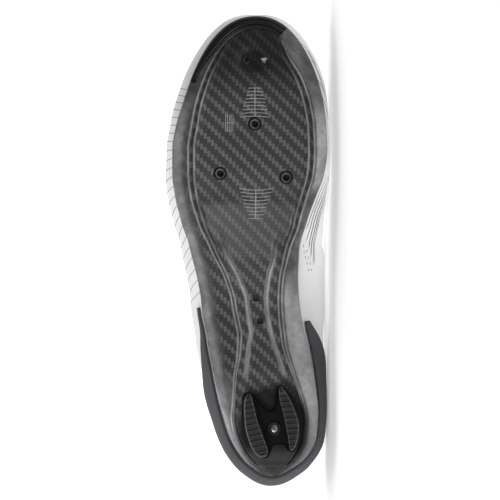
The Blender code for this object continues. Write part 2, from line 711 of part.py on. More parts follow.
def make_outsole(parent):
    sections = [sole_section(along) for along in stations(42, extra=(0.212, 0.225, 0.265, 0.475))]
    sole = add_object("outsole", lofted(sections, caps=False), "carbon", parent)
    cut(sole, make_bumper_space(parent))
    for name, centre in bolt_places().items():
        low, high = bolt_levels(centre)
        hole = cylinder(RING_DIAMETER / 2 + CLEARANCE, low - PLATE, high + PLATE, centre)
        cut(sole, hidden_tool("bolt_hole_" + name, hole, parent))
    for number, sign in enumerate((-1, 1)):
        x, y = TOE_VENTS + (0, sign * TOE_VENT_SPACING / 2)
        vent = box((TOE_VENT, TOE_VENT, TOE_SPRING * 2), (x, y, TOE_SPRING / 2))
        cut(sole, hidden_tool(f"toe_vent_{number + 1}", vent, parent))
        x, y = MIDFOOT_VENTS + (sign * MIDFOOT_VENT_SPACING / 2, -sign * MIDFOOT_VENT_SKEW)
        vent = box((MIDFOOT_VENT, MIDFOOT_VENT, HEEL_LIFT * 3), (x, y, HEEL_LIFT))
        cut(sole, hidden_tool(f"midfoot_vent_{number + 1}", vent, parent))
    return sole


def make_bolt_seats(parent):
    for name, centre in bolt_places().items():
        low, high = bolt_levels(centre)
        ring = tube(RING_DIAMETER / 2, INSERT_DIAMETER / 2 + CLEARANCE, low, high, centre, 16)
        add_object("ring_" + name, ring, "black_plastic", parent)
        insert = tube(INSERT_DIAMETER / 2, INSERT_BORE / 2, low, high, centre, 16)
        add_object("insert_" + name, insert, "steel", parent)


def lug_body(table, slant):
    """One tread lug: a leaf outline with drafted sides and cross ribs."""
    rows = sorted(table)
    places = [row[0] for row in rows]
    high = HEEL_LIFT + RECESS_DEPTH - CLEARANCE
    back = places[0] * PAD_LENGTH
    front = places[-1] * PAD_LENGTH
    marks = [(back, PAD_RIB_DEPTH), (back + FIRST_RIB * 0.4, PAD_RIB_DEPTH)]
    for number in range(PAD_RIBS):
        start = back + FIRST_RIB + number * PAD_RIB_PITCH
        marks += [(start + PAD_RIB_PITCH * share, PAD_RIB_DEPTH * depth) for share, depth in LUG_RIB]
    last = marks[-1][0]
    marks += [(last + (front - last) * share, PAD_BASE * lift) for share, lift in LUG_NOSE]
    sections = []
    for x, tread in marks:
        place = x / PAD_LENGTH
        left = curve(places, [row[1] for row in rows], place) * PAD_WIDTH
        right = curve(places, [row[2] for row in rows], place) * PAD_WIDTH
        middle = (left + right) / 2
        draft = min(PAD_DRAFT, (right - left) * 0.3)
        outline = (
            (left, high), (left, high - PAD_BASE), (left + draft, tread), (right - draft, tread),
            (right, high - PAD_BASE), (right, high),
        )
        section = []
        for y, z in outline:
            section.append((PAD_CENTRE[0] + x + slant * (y - middle), PAD_CENTRE[1] + y, z))
        sections.append(section)
    return lofted(sections, caps=True)


def make_heel_pad(parent):
    """A V-shaped base in the recess of the heel, with two ribbed lugs and a boss for its screw."""
    high = HEEL_LIFT + RECESS_DEPTH - CLEARANCE
    made = bmesh.new()
    places = [PAD_CENTRE + (along * PAD_LENGTH, across * PAD_WIDTH) for along, across in PAD_OUTLINE]
    face = made.faces.new([made.verts.new((*place, high)) for place in places])
    grown = bmesh.ops.extrude_face_region(made, geom=[face])
    moved = [part for part in grown["geom"] if isinstance(part, bmesh.types.BMVert)]
    bmesh.ops.translate(made, verts=moved, vec=(0, 0, -PAD_BASE))
    bmesh.ops.recalc_face_normals(made, faces=made.faces)
    pad = add_object("heel_pad", made, "black_plastic", parent)
    join(pad, hidden_tool("lateral_lug", lug_body(LATERAL_LUG, LUG_SLANT[LATERAL]), parent))
    join(pad, hidden_tool("medial_lug", lug_body(MEDIAL_LUG, LUG_SLANT[MEDIAL]), parent))
    boss_low = high - PAD_BASE - BOSS_HEIGHT
    boss = cylinder(BOSS_DIAMETER / 2, boss_low, high - PAD_BASE / 2, PAD_CENTRE, bevel=BOSS_BEVEL)
    join(pad, hidden_tool("boss", boss, parent))
    seat = cylinder(SCREW_HEAD / 2 + CLEARANCE, boss_low - BOSS_HEIGHT, boss_low + BOSS_HEIGHT, PAD_CENTRE)
    cut(pad, hidden_tool("screw_seat", seat, parent))
    bore = cylinder(SCREW_SHANK / 2 + CLEARANCE, boss_low, high + BOSS_HEIGHT, PAD_CENTRE, 16)
    cut(pad, hidden_tool("screw_bore", bore, parent))
    head_high = boss_low + BOSS_HEIGHT - CLEARANCE
    screw = cylinder(SCREW_HEAD / 2, head_high - SCREW_HEAD_HEIGHT, head_high, PAD_CENTRE, bevel=BOSS_BEVEL)
    head = add_object("heel_screw", screw, "steel", parent)
    shank = cylinder(SCREW_SHANK / 2, head_high - SCREW_HEAD_HEIGHT / 2, high, PAD_CENTRE, 16)
    join(head, hidden_tool("screw_shank", shank, parent))


def upper_stations():
    return stations(30, extra=(0.640, 0.662, 0.680, 0.410))


def make_upper(parent):
    """Both sides of the upper, welded at toe, crest and heel back, with a wall of real thickness."""
    shares = [WAIST_SHARE * s for s in (0.0, 0.4, 0.75)]
    shares += list(np.linspace(WAIST_SHARE, 1, 9))
    places = upper_stations()
    made = bmesh.new()
    for side in (LATERAL, MEDIAL):
        rows = [[made.verts.new(upper_point(side, along, s)) for s in shares] for along in places]
        for here, there in zip(rows, rows[1:]):
            for i in range(len(shares) - 1):
                quad = (here[i], there[i], there[i + 1], here[i + 1])
                made.faces.new(quad if side == LATERAL else quad[::-1])
    bmesh.ops.remove_doubles(made, verts=made.verts, dist=1e-6)
    item = add_object("upper", made, "white_microfibre", parent)
    add_wall(item, UPPER_WALL, -1)
    return item


def make_heel_counter(parent):
    """The grey cup round the heel: on the upper's own outer face, high at the back and low in front."""
    rows = []
    for side, order in ((LATERAL, 1), (MEDIAL, -1)):
        end = COUNTER_ENDS[side]
        places = [share for share in upper_stations() if share < end - 0.01] + [end]
        places = places[::-order]
        for along in places[1 if side == MEDIAL else 0:]:
            back = (1 - along / end) ** COUNTER_TAPERS[side]
            foot = upper_point(side, along, 0)[2]
            tall = upper_point(side, along, 1)[2] - foot
            high_share = COUNTER_TIP + COUNTER_RISE / tall * back
            rows.append([upper_point(side, along, s) for s in np.linspace(COUNTER_FOOT, high_share, 7)])
    grid = moved_out(np.array(rows), COUNTER_CLEARANCE)
    return sheet("heel_counter", grid, COUNTER_THICKNESS, 1, "grey_shell", parent)


def make_tongue(parent):
    """Under the throat, from under the vamp to a free tab above the instep."""
    rows = []
    for along in TONGUE_PLACES:
        reach = 0.70 + 0.27 * ease(0.54, 0.43, along)
        rows.append(over_crest(along, reach, reach, 11))
    grid = moved_out(np.array(rows), -(UPPER_WALL + TONGUE_CLEARANCE))
    run = grid[-1].mean(axis=0) - grid[-2].mean(axis=0)
    run /= np.linalg.norm(run)
    centre = grid[-1].mean(axis=0)
    tab = []
    for reach, narrow in TONGUE_TAB_SHAPE:
        shift = run * TONGUE_TAB * reach
        tab.append(centre + (grid[-1] - centre) * narrow + shift)
    grid = np.concatenate([grid, np.array(tab)])
    return sheet("tongue", grid, TONGUE_THICKNESS, -1, "black_lining", parent)


def seat_height(spot):
    """The highest part of the outsole's upper face close to a place in plan."""
    reach = RIM_WIDTH * 0.7
    heights = []
    for dx in (-reach, 0.0, reach):
        for dy in (-reach, 0.0, reach):
            near = spot + (dx, dy)
            along, across = np.clip((along_of(near[0]), across_of(near)), 0.0, 1.0)
            heights.append(topside(along, across))
    return max(heights)


def make_insole(parent):
    sections = []
    inset = FOOT_INSET + UPPER_WALL + CLEARANCE
    for along in stations(26):
        ends = [edge(side, along) - outward(side, along) * inset for side in (LATERAL, MEDIAL)]
        below, above = [], []
        for share in (0.0, 0.12, 0.5, 0.88, 1.0):
            spot = ends[0] + (ends[1] - ends[0]) * share
            low = seat_height(spot) + CURVED_CLEARANCE
            below.append((*spot, low))
            above.append((*spot, low + INSOLE_THICKNESS))
        sections.append(below + above[::-1])
    return add_object("insole", lofted(sections, caps=False), "black_lining", parent)


def make_strap(name, width, parent):
    """A strap over the throat, sewn on at the medial edge, its free end down on the lateral side."""
    half = width / 2 / SOLE_LENGTH
    lines = []
    for share in (-1.0, -0.5, 0.0, 0.5, 1.0):
        free_end = 0.42 + 0.05 * share * share
        lines.append(over_crest(STRAP_PLACES[name] + half * share, free_end, 0.80, 16))
    grid = moved_out(np.array(lines), CURVED_CLEARANCE)
    return sheet(name, grid, STRAP_THICKNESS, 1, "white_strap", parent)


def hull_faces(points):
    """Normals and corners of the convex hull's faces."""
    made = bmesh.new()
    for point in points:
        made.verts.new(point)
    result = bmesh.ops.convex_hull(made, input=made.verts)
    faces = [item for item in result["geom"] if isinstance(item, bmesh.types.BMFace)]
    bmesh.ops.recalc_face_normals(made, faces=faces)
    found = [(face.normal.copy(), [corner.co.copy() for corner in face.verts]) for face in faces]
    made.free()
    return found


def resting_normal(points, centre):
    """Which way is down when the shoe has come to rest on its medial side."""
    down = Vector((0, 1, 0))
    faces = hull_faces(points)
    for _ in range(12):
        best = None
        for normal, corners in faces:
            facing = normal.dot(down)
            if facing <= 1e-6:
                continue
            reach = normal.dot(corners[0] - centre) / facing
            if best is None or reach < best[0]:
                best = (reach, normal)
        if best[1].angle(down) < 1e-5:
            break
        down = best[1]
    return down


def lay_down(holder, pieces):
    """Turns the holder so that the shoe lies on its medial side, over the origin."""
    graph = bpy.context.evaluated_depsgraph_get()
    points, mass_sum, moment = [], 0.0, Vector((0, 0, 0))
    for piece in pieces:
        shape = bmesh.new()
        shape.from_object(piece, graph)
        points += [corner.co.copy() for corner in shape.verts]
        density = MATERIALS[piece.data.materials[0].name][3]
        for a, b, c in (tuple(loop.vert.co for loop in triangle) for triangle in shape.calc_loop_triangles()):
            mass = density * a.dot(b.cross(c)) / 6
            moment += (a + b + c) / 4 * mass
            mass_sum += mass
        shape.free()
    down = resting_normal(points, moment / mass_sum)
    ahead = (Vector((1, 0, 0)) - down * down.x).normalized()
    side = (-down).cross(ahead)
    turn = Matrix((ahead, side, -down))
    placed = [turn @ point for point in points]
    low = [min(point[axis] for point in placed) for axis in range(3)]
    high = [max(point[axis] for point in placed) for axis in range(3)]
    shift = Vector((-(low[0] + high[0]) / 2, -(low[1] + high[1]) / 2, -low[2]))
    holder.matrix_world = Matrix.Translation(shift) @ turn.to_4x4()


def main():
    for old in list(bpy.data.objects):
        bpy.data.objects.remove(old, do_unlink=True)
    holder = bpy.data.objects.new("lying_shoe", None)
    bpy.context.scene.collection.objects.link(holder)
    make_outsole(holder)
    make_bumper(holder)
    make_bolt_seats(holder)
    make_heel_pad(holder)
    make_upper(holder)
    make_heel_counter(holder)
    make_tongue(holder)
    make_insole(holder)
    make_strap("strap_front", STRAP_WIDTH, holder)
    make_strap("strap_middle", STRAP_WIDTH, holder)
    make_strap("strap_instep", INSTEP_STRAP_WIDTH, holder)
    bpy.context.view_layer.update()
    pieces = [item for item in holder.children if not item.hide_render]
    lay_down(holder, pieces)


main()
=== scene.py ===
# %% [markdown]
# # A road-cycling shoe, seen from below
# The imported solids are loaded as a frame. Over them this lesson lays the visible pieces of a right road
# shoe that lies on its medial side: a carbon sole, a rubber toe bumper, a ribbed heel pad, bolt seats, a
# white upper, a grey heel cup, straps, a tongue and an insole. Each piece is laid in the shoe's own upright
# sizes and then turned down.

# %% Load the frame
import json
import math
from functools import lru_cache

import bmesh
import bpy
import numpy as np
from mathutils import Matrix, Vector

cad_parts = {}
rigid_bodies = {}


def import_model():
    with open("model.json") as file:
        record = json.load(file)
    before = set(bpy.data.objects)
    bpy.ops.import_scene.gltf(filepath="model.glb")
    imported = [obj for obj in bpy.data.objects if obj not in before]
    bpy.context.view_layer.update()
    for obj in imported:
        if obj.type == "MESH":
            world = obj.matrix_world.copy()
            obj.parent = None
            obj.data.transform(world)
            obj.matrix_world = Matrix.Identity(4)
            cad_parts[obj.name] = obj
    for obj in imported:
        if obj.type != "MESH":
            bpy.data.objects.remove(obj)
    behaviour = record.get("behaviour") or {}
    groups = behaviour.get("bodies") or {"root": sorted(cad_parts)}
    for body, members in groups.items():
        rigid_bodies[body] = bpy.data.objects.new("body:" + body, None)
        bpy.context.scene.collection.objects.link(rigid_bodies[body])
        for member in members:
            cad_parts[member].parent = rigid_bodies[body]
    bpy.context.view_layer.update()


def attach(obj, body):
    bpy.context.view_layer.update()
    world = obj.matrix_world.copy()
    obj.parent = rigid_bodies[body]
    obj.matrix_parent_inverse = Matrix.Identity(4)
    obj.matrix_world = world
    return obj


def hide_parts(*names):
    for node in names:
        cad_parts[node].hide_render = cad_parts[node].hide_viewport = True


for leftover in list(bpy.data.objects):
    bpy.data.objects.remove(leftover, do_unlink=True)
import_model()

# %% [markdown]
# ## The shoe's own sizes
# A shoe is drawn upright on its last: x runs from heel to toe, y from the lateral to the medial side, z up
# from the floor. The sole, the upper and all that lies on them are read from a few curves along the sole,
# so every piece fits its neighbours, and one matrix lays the whole shoe down on its side.

# %% Sizes in metres
SHOE_LENGTH = 0.265
SOLE_WIDTH = 0.0867
SOLE_HEEL_WIDTH = 0.0542
HEEL_OVERHANG = 0.0056
TOE_OVERHANG = 0.0010
CLEARANCE = 0.0003
HEEL_LIFT = 0.0090
ARCH_LIFT = 0.0085
TOE_SPRING = 0.0190
PLATE = 0.0022
FLANGE_RISE = 0.0068
RIM_HEIGHT = 0.0020
RIM_WIDTH = 0.0032
RIDGE_HEIGHT = 0.0011
RIDGE_WIDTH = 0.0022
RIDGE_GAP = 0.0032
CHANNEL_DEPTH = 0.0011
RECESS_DEPTH = 0.0010
UPPER_WALL = 0.0018
FOOT_INSET = 0.0008
ARCH_BULGE = 0.0148
WAIST_HEIGHT = 0.0280
INSTEP_HEIGHT = 0.0910
HEEL_HEIGHT = 0.0960
COLLAR_WIDTH = 0.0530
SOLE_BACK = HEEL_OVERHANG
SOLE_LENGTH = SHOE_LENGTH - HEEL_OVERHANG - TOE_OVERHANG
DISH_SLOPE = 0.12
WAIST_SHARE = 0.26
LATERAL, MEDIAL = "lateral", "medial"
LAID_DOWN = Matrix((
    (0.999998, -0.001985, -0.000137, -0.132259),
    (0.0, -0.068763, 0.997633, -0.047476),
    (-0.00199, -0.997631, -0.068763, 0.043521),
    (0.0, 0.0, 0.0, 1.0),
))

# Sole outline from below: along (share of sole length), lateral and medial edge (shares of the width there)
SOLE_OUTLINE = (
    (0.000, 0.175, 0.175), (0.015, 0.000, 0.371), (0.033, -0.103, 0.495), (0.084, -0.258, 0.639),
    (0.137, -0.340, 0.660), (0.188, -0.397, 0.639), (0.240, -0.443, 0.598), (0.292, -0.490, 0.541),
    (0.344, -0.511, 0.462), (0.396, -0.473, 0.379), (0.448, -0.448, 0.325), (0.500, -0.443, 0.302),
    (0.552, -0.477, 0.335), (0.604, -0.516, 0.390), (0.656, -0.535, 0.445), (0.708, -0.535, 0.465),
    (0.760, -0.510, 0.458), (0.812, -0.465, 0.439), (0.864, -0.413, 0.400), (0.916, -0.342, 0.335),
    (0.968, -0.226, 0.226), (0.996, -0.084, 0.090), (1.000, 0.006, 0.006),
)
# Underside on the centre line: along, shares of heel lift, arch lift, toe spring and flange rise
SOLE_PROFILE = (
    (0.00, 1.25, 0.00, 0.00, 0.85), (0.05, 1.00, 0.00, 0.00, 0.95), (0.20, 1.00, 0.00, 0.00, 1.00),
    (0.30, 0.88, 0.45, 0.00, 1.10), (0.40, 0.62, 0.95, 0.00, 1.15), (0.50, 0.30, 0.85, 0.00, 1.05),
    (0.60, 0.06, 0.25, 0.00, 0.80), (0.68, 0.00, 0.00, 0.00, 0.65), (0.76, 0.00, 0.00, 0.03, 0.60),
    (0.85, 0.00, 0.00, 0.24, 0.60), (0.93, 0.00, 0.00, 0.58, 0.60), (1.00, 0.00, 0.00, 1.00, 0.60),
)
# Ridges, as shares across: along, lateral outer ridge, channel's two walls, medial outer ridge
RIDGE_LINES = (
    (0.00, 0.200, 0.40, 0.60, 0.800), (0.08, 0.080, 0.30, 0.66, 0.859), (0.12, 0.091, 0.28, 0.70, 0.870),
    (0.16, 0.141, 0.28, 0.72, 0.853), (0.22, 0.208, 0.322, 0.703, 0.802), (0.28, 0.293, 0.400, 0.668, 0.777),
    (0.32, 0.322, 0.462, 0.655, 0.797), (0.38, 0.312, 0.468, 0.663, 0.82), (0.43, 0.275, 0.415, 0.705, 0.85),
    (0.49, 0.194, 0.323, 0.776, 0.908), (0.54, 0.143, 0.29, 0.77, 0.940), (0.60, 0.116, 0.30, 0.74, 0.934),
    (0.65, 0.107, 0.31, 0.72, 0.928), (0.71, 0.103, 0.32, 0.71, 0.918), (0.76, 0.103, 0.33, 0.70, 0.916),
    (0.81, 0.093, 0.33, 0.70, 0.902), (0.86, 0.100, 0.34, 0.68, 0.876), (0.92, 0.130, 0.36, 0.66, 0.805),
    (1.00, 0.200, 0.40, 0.60, 0.780),
)
# Ribs of the upper: along (foot), top's place, top's height, crest line, turn in degrees, then for the
# lateral and the medial side the half gap at the top, the bulge past the foot and the waist's height
UPPER_RIBS = (
    (0.000, 0.036, 1.000, 0.110, 38, 0.000, 0.31, 0.57, 0.000, 0.31, 0.57),
    (0.015, 0.044, 0.993, 0.109, 37, 0.135, 0.33, 0.57, 0.135, 0.29, 0.57),
    (0.050, 0.066, 0.955, 0.107, 36, 0.262, 0.34, 0.57, 0.262, 0.24, 0.57),
    (0.120, 0.130, 0.862, 0.104, 33, 0.410, 0.36, 0.61, 0.415, 0.23, 0.61),
    (0.200, 0.210, 0.790, 0.096, 33, 0.490, 0.46, 0.64, 0.500, 0.33, 0.78),
    (0.280, 0.290, 0.800, 0.081, 39, 0.480, 0.52, 0.64, 0.490, 0.65, 1.04),
    (0.350, 0.362, 0.895, 0.064, 50, 0.395, 0.49, 0.68, 0.400, 0.97, 1.20),
    (0.410, 0.418, 0.985, 0.046, 63, 0.275, 0.46, 0.68, 0.275, 1.04, 1.24),
    (0.470, 0.476, 0.934, 0.032, 70, 0.217, 0.42, 0.64, 0.217, 1.04, 1.18),
    (0.540, 0.542, 0.846, 0.017, 74, 0.190, 0.36, 0.57, 0.190, 0.78, 0.95),
    (0.600, 0.600, 0.769, 0.006, 78, 0.162, 0.35, 0.50, 0.162, 0.50, 0.71),
    (0.640, 0.637, 0.726, 0.000, 82, 0.130, 0.33, 0.47, 0.130, 0.30, 0.59),
    (0.662, 0.657, 0.708, -0.004, 86, 0.085, 0.32, 0.46, 0.085, 0.24, 0.53),
    (0.680, 0.673, 0.698, -0.006, 90, 0.000, 0.30, 0.45, 0.000, 0.19, 0.50),
    (0.740, 0.712, 0.662, -0.012, 90, 0.000, 0.29, 0.43, 0.000, 0.14, 0.43),
    (0.800, 0.743, 0.638, -0.017, 90, 0.000, 0.35, 0.43, 0.000, 0.20, 0.43),
    (0.860, 0.768, 0.617, -0.015, 90, 0.000, 0.34, 0.41, 0.000, 0.28, 0.39),
    (0.920, 0.788, 0.600, -0.012, 90, 0.000, 0.29, 0.39, 0.000, 0.27, 0.38),
    (0.970, 0.800, 0.590, -0.006, 90, 0.000, 0.26, 0.38, 0.000, 0.24, 0.37),
    (1.000, 0.806, 0.586, 0.002, 90, 0.000, 0.12, 0.36, 0.000, 0.12, 0.36),
)
print("sole length in mm:", round(1000 * SOLE_LENGTH, 1))

# %% Curves along the sole
def curve(points, values, at):
    """A smooth curve through the values that never swings past them, read at a place."""
    steps = np.diff(points)
    slopes = np.diff(values) / steps
    tangents = np.zeros(len(points))
    tangents[0], tangents[-1] = slopes[0], slopes[-1]
    both = slopes[:-1] * slopes[1:]
    same_way = both > 0
    tangents[1:-1][same_way] = 2 * both[same_way] / (slopes[:-1] + slopes[1:])[same_way]
    index = int(np.clip(np.searchsorted(points, at) - 1, 0, len(steps) - 1))
    step = steps[index]
    u = (at - points[index]) / step
    start = (1 + 2 * u) * (1 - u) ** 2 * values[index] + u * (1 - u) ** 2 * step * tangents[index]
    end = u * u * (3 - 2 * u) * values[index + 1] - u * u * (1 - u) * step * tangents[index + 1]
    return float(start + end)


def round_share(along):
    """A share along, turned into a share of a half circle, so that places gather at the round ends."""
    return math.acos(1 - 2 * min(max(along, 0.0), 1.0)) / math.pi


def columns_of(table):
    """The table's first column turned into round shares, and its other columns, ready to be read."""
    rows = np.array(table, float)
    return np.array([round_share(value) for value in rows[:, 0]]), rows


TABLES = {
    "outline": columns_of(SOLE_OUTLINE),
    "profile": columns_of(SOLE_PROFILE),
    "ridges": columns_of(RIDGE_LINES),
    "ribs": columns_of(UPPER_RIBS),
}


@lru_cache(maxsize=None)
def column(table, number, along):
    places, rows = TABLES[table]
    return curve(places, rows[:, number], round_share(along))


def ease(start, end, value):
    """0 before the start, 1 past the end, and a smooth step between."""
    share = min(max((value - start) / (end - start), 0.0), 1.0)
    return share * share * (3 - 2 * share)


def stations(count):
    """Shares along the sole, close together at its round ends."""
    return [(1 - math.cos(math.pi * i / count)) / 2 for i in range(count + 1)]


def along_of(x):
    return (x - SOLE_BACK) / SOLE_LENGTH


@lru_cache(maxsize=None)
def edge(side, along):
    """A point of the sole's outline in plan."""
    width = SOLE_HEEL_WIDTH + (SOLE_WIDTH - SOLE_HEEL_WIDTH) * ease(0.30, 0.55, along)
    number = 1 if side == LATERAL else 2
    return np.array((SOLE_BACK + along * SOLE_LENGTH, column("outline", number, along) * width))


@lru_cache(maxsize=None)
def outward(side, along):
    """The outline's normal in plan, pointing away from the shoe."""
    turn = round_share(along)
    step = 0.004
    if turn < step or turn > 1 - step:
        return np.array((-1.0 if turn < step else 1.0, 0.0))
    before = (1 - math.cos(math.pi * (turn - step))) / 2
    after = (1 - math.cos(math.pi * (turn + step))) / 2
    run = edge(side, after) - edge(side, before)
    run /= np.linalg.norm(run)
    return np.array((run[1], -run[0])) if side == LATERAL else np.array((-run[1], run[0]))


print("sole width at the ball in mm:", round(1000 * (edge(MEDIAL, 0.7)[1] - edge(LATERAL, 0.7)[1]), 1))

# %% Heights of the sole
SCOOP_ALONG, SCOOP_ACROSS = 0.90, 0.48
SCOOP_DEPTH, SCOOP_LENGTH, SCOOP_WIDTH = 0.0011, 0.0190, 0.0220


def across_of(point):
    along = along_of(point[0])
    low, high = edge(LATERAL, along)[1], edge(MEDIAL, along)[1]
    return (point[1] - low) / max(high - low, 1e-6)


def plate_height(along):
    heel, arch, toe = (column("profile", number, along) for number in (1, 2, 3))
    return HEEL_LIFT * heel + ARCH_LIFT * arch + TOE_SPRING * toe


def flange_rise(along):
    return FLANGE_RISE * column("profile", 4, along)


def end_part(along, reach):
    """0 along the sole, rising to 1 at its two ends."""
    front = max((along - (1 - reach)) / reach, 0.0)
    back = max((reach - along) / reach, 0.0)
    return min(max(front, back), 1.0) ** 2


def flange_part(along, across):
    """0 on the plate, rising to 1 at the sole's edge."""
    lateral, medial = column("ridges", 1, along), column("ridges", 4, along)
    side = max(1 - across / lateral, (across - medial) / (1 - medial), 0.0)
    return 1 - (1 - min(side, 1.0) ** 1.6) * (1 - end_part(along, 0.07))


def scoop(along, across):
    low, high = edge(LATERAL, SCOOP_ALONG)[1], edge(MEDIAL, SCOOP_ALONG)[1]
    centre = low * (1 - SCOOP_ACROSS) + high * SCOOP_ACROSS
    y = edge(LATERAL, along)[1] * (1 - across) + edge(MEDIAL, along)[1] * across
    ahead = (along - SCOOP_ALONG) * SOLE_LENGTH
    out = math.hypot(ahead * 2 / SCOOP_LENGTH, (y - centre) * 2 / SCOOP_WIDTH)
    return SCOOP_DEPTH * ease(1.0, 0.55, out)


def underside(along, across, relief=0.0):
    flange = flange_rise(along) * flange_part(along, across)
    return plate_height(along) + flange + relief + scoop(along, across)


def topside(along, across):
    width = max(edge(MEDIAL, along)[1] - edge(LATERAL, along)[1], 1e-6)
    rim = min(RIM_WIDTH / width, 0.3)
    foot = rim + DISH_SLOPE
    side = max((foot - across) / (foot - rim), (across - 1 + foot) / (foot - rim), 0.0)
    wall = max(min(side, 1.0), min(end_part(along, 0.09) * 2, 1.0))
    return plate_height(along) + PLATE + (flange_rise(along) + RIM_HEIGHT - PLATE) * wall


# Where along the sole the ridges, the channel and the heel recess begin and end: each end as it eases in
RIDGES_RUN = ((0.02, 0.12), (0.97, 0.88))
CHANNEL_RUN = ((0.20, 0.27), (0.53, 0.46))
RECESS_RUN = ((0.018, 0.036), (0.234, 0.212))


def run_part(ends, along):
    """1 on a stretch of the sole, easing to 0 at both its ends."""
    return ease(*ends[0], along) * ease(*ends[1], along)


def relief_columns(along, width):
    """The ridges and channel across the sole: (share across, height over the plate)."""
    lateral, wall_l, wall_m, medial = (column("ridges", number, along) for number in (1, 2, 3, 4))
    channel = run_part(CHANNEL_RUN, along)
    half = min(RIDGE_WIDTH / 2 / width, lateral * 0.3)
    spread = 0.25 + 0.35 * ease(0.20, 0.32, along) + 0.40 * ease(0.42, 0.60, along)
    pair = min(RIDGE_GAP * spread / width, 0.06)
    low = -RIDGE_HEIGHT * run_part(RIDGES_RUN, along)
    floor = RECESS_DEPTH * run_part(RECESS_RUN, along)
    groove = CHANNEL_DEPTH * channel + floor
    lip = floor - RIDGE_HEIGHT * 0.7 * channel
    inner_l, inner_m = lateral + pair + half, medial - pair - half
    return (
        (0.0, 0.0), (lateral * 0.5, 0.0), (lateral - half, 0.0),
        (lateral, low), (lateral + pair / 2, low * 0.3), (lateral + pair, low),
        (inner_l, floor), ((inner_l + wall_l) / 2, floor), (wall_l, lip),
        (wall_l + half, groove), ((wall_l + wall_m) / 2, groove), (wall_m - half, groove),
        (wall_m, lip), ((wall_m + inner_m) / 2, floor), (inner_m, floor),
        (medial - pair, low), (medial - pair / 2, low * 0.3), (medial, low),
        (medial + half, 0.0), ((1 + medial) / 2, 0.0), (1.0, 0.0),
    )


print("plate over the floor at the heel in mm:", round(1000 * plate_height(0.1), 1))

# %% Points on the upper
def upper_point(side, along, share):
    """A point on the upper's outer face: share 0 is its foot on the sole, 1 its top line."""
    top_x, top_z, crest, turn = (column("ribs", number, along) for number in (1, 2, 3, 4))
    first = 5 if side == LATERAL else 8
    gap, bulge, waist = (column("ribs", number, along) for number in (first, first + 1, first + 2))
    height = HEEL_HEIGHT + (INSTEP_HEIGHT - HEEL_HEIGHT) * ease(0.15, 0.41, along)
    sign = -1 if side == LATERAL else 1
    top = np.array((top_x * SHOE_LENGTH, crest * SOLE_WIDTH + sign * gap * COLLAR_WIDTH))
    away = outward(side, along)
    foot = edge(side, along) - away * FOOT_INSET
    foot_z = plate_height(along) + flange_rise(along) + RIM_HEIGHT + CLEARANCE
    widest = foot + away * bulge * ARCH_BULGE
    widest_z = foot_z + waist * WAIST_HEIGHT
    if share < WAIST_SHARE:
        part = share / WAIST_SHARE
        flat = foot + (widest - foot) * math.sin(part * math.pi / 2)
        return np.array((flat[0], flat[1], foot_z + (widest_z - foot_z) * part))
    last = math.radians(turn)
    angle = last * (share - WAIST_SHARE) / (1 - WAIST_SHARE)
    flat = top + (widest - top) * (math.cos(angle) - math.cos(last)) / (1 - math.cos(last))
    z = widest_z + (top_z * height - widest_z) * math.sin(angle) / math.sin(last)
    return np.array((flat[0], flat[1], z))


def inside_of(point):
    """A place inside the shoe, level with a point on it."""
    return np.array((min(max(point[0], SHOE_LENGTH * 0.2), SHOE_LENGTH * 0.8), 0.0, HEEL_HEIGHT / 3))


def grid_normals(grid):
    """The normals of a grid of points, pointing away from the shoe."""
    normals = np.cross(np.gradient(grid, axis=0), np.gradient(grid, axis=1))
    normals /= np.maximum(np.linalg.norm(normals, axis=2, keepdims=True), 1e-12)
    i, j = len(grid) // 2, grid.shape[1] // 2
    if np.dot(normals[i, j], grid[i, j] - inside_of(grid[i, j])) < 0:
        normals = -normals
    return normals


def over_crest(along, from_lateral, to_medial, count):
    """Evenly spaced points over the instep, along one rib and down the other, bridging the throat."""
    lateral = [upper_point(LATERAL, along, s) for s in np.linspace(from_lateral, 1, 9)]
    medial = [upper_point(MEDIAL, along, s) for s in np.linspace(1, to_medial, 9)]
    gap = medial[0] - lateral[-1]
    bridge = []
    if np.linalg.norm(gap) > 1e-5:
        leave = lateral[-1] - upper_point(LATERAL, along, 0.97)
        arrive = upper_point(MEDIAL, along, 0.97) - medial[0]
        leave *= np.linalg.norm(gap) / np.linalg.norm(leave)
        arrive *= np.linalg.norm(gap) / np.linalg.norm(arrive)
        for u in np.linspace(0, 1, 9)[1:-1]:
            near = (1 + 2 * u) * (1 - u) ** 2 * lateral[-1] + u * (1 - u) ** 2 * leave
            far = u * u * (3 - 2 * u) * medial[0] - u * u * (1 - u) * arrive
            bridge.append(near + far)
    else:
        medial = medial[1:]
    path = np.array(lateral + bridge + medial)
    runs = np.concatenate(([0.0], np.cumsum(np.linalg.norm(np.diff(path, axis=0), axis=1))))
    places = np.linspace(0, runs[-1], count)
    return np.stack([np.interp(places, runs, path[:, axis]) for axis in range(3)], axis=1)


print("instep over the floor in mm:", round(1000 * upper_point(LATERAL, 0.41, 1.0)[2], 1))

# %% [markdown]
# ## From a flat grid to a shaped skin
# A skin such as a sole or an upper is easiest to control as a plain grid whose corners are moved to their
# places. `create_grid` makes the faces and a UV map; the helper then reads where each corner belongs. A
# section that closes on itself is a grid whose first and last columns meet and are merged.

# %% Grid helpers
def grid_mesh(points):
    """A bmesh grid laid on an array of points (rows, columns, xyz), with a UV map named lay."""
    rows, count = points.shape[:2]
    made = bmesh.new()
    made.loops.layers.uv.new("lay")
    bmesh.ops.create_grid(made, x_segments=count - 1, y_segments=rows - 1, size=1.0, calc_uvs=True)
    made.verts.sort(key=lambda corner: round((corner.co.y + 1) * rows * 4) * 1000 + corner.co.x)
    made.verts.index_update()
    for corner, place in zip(made.verts, points.reshape(-1, 3)):
        corner.co = place
    return made


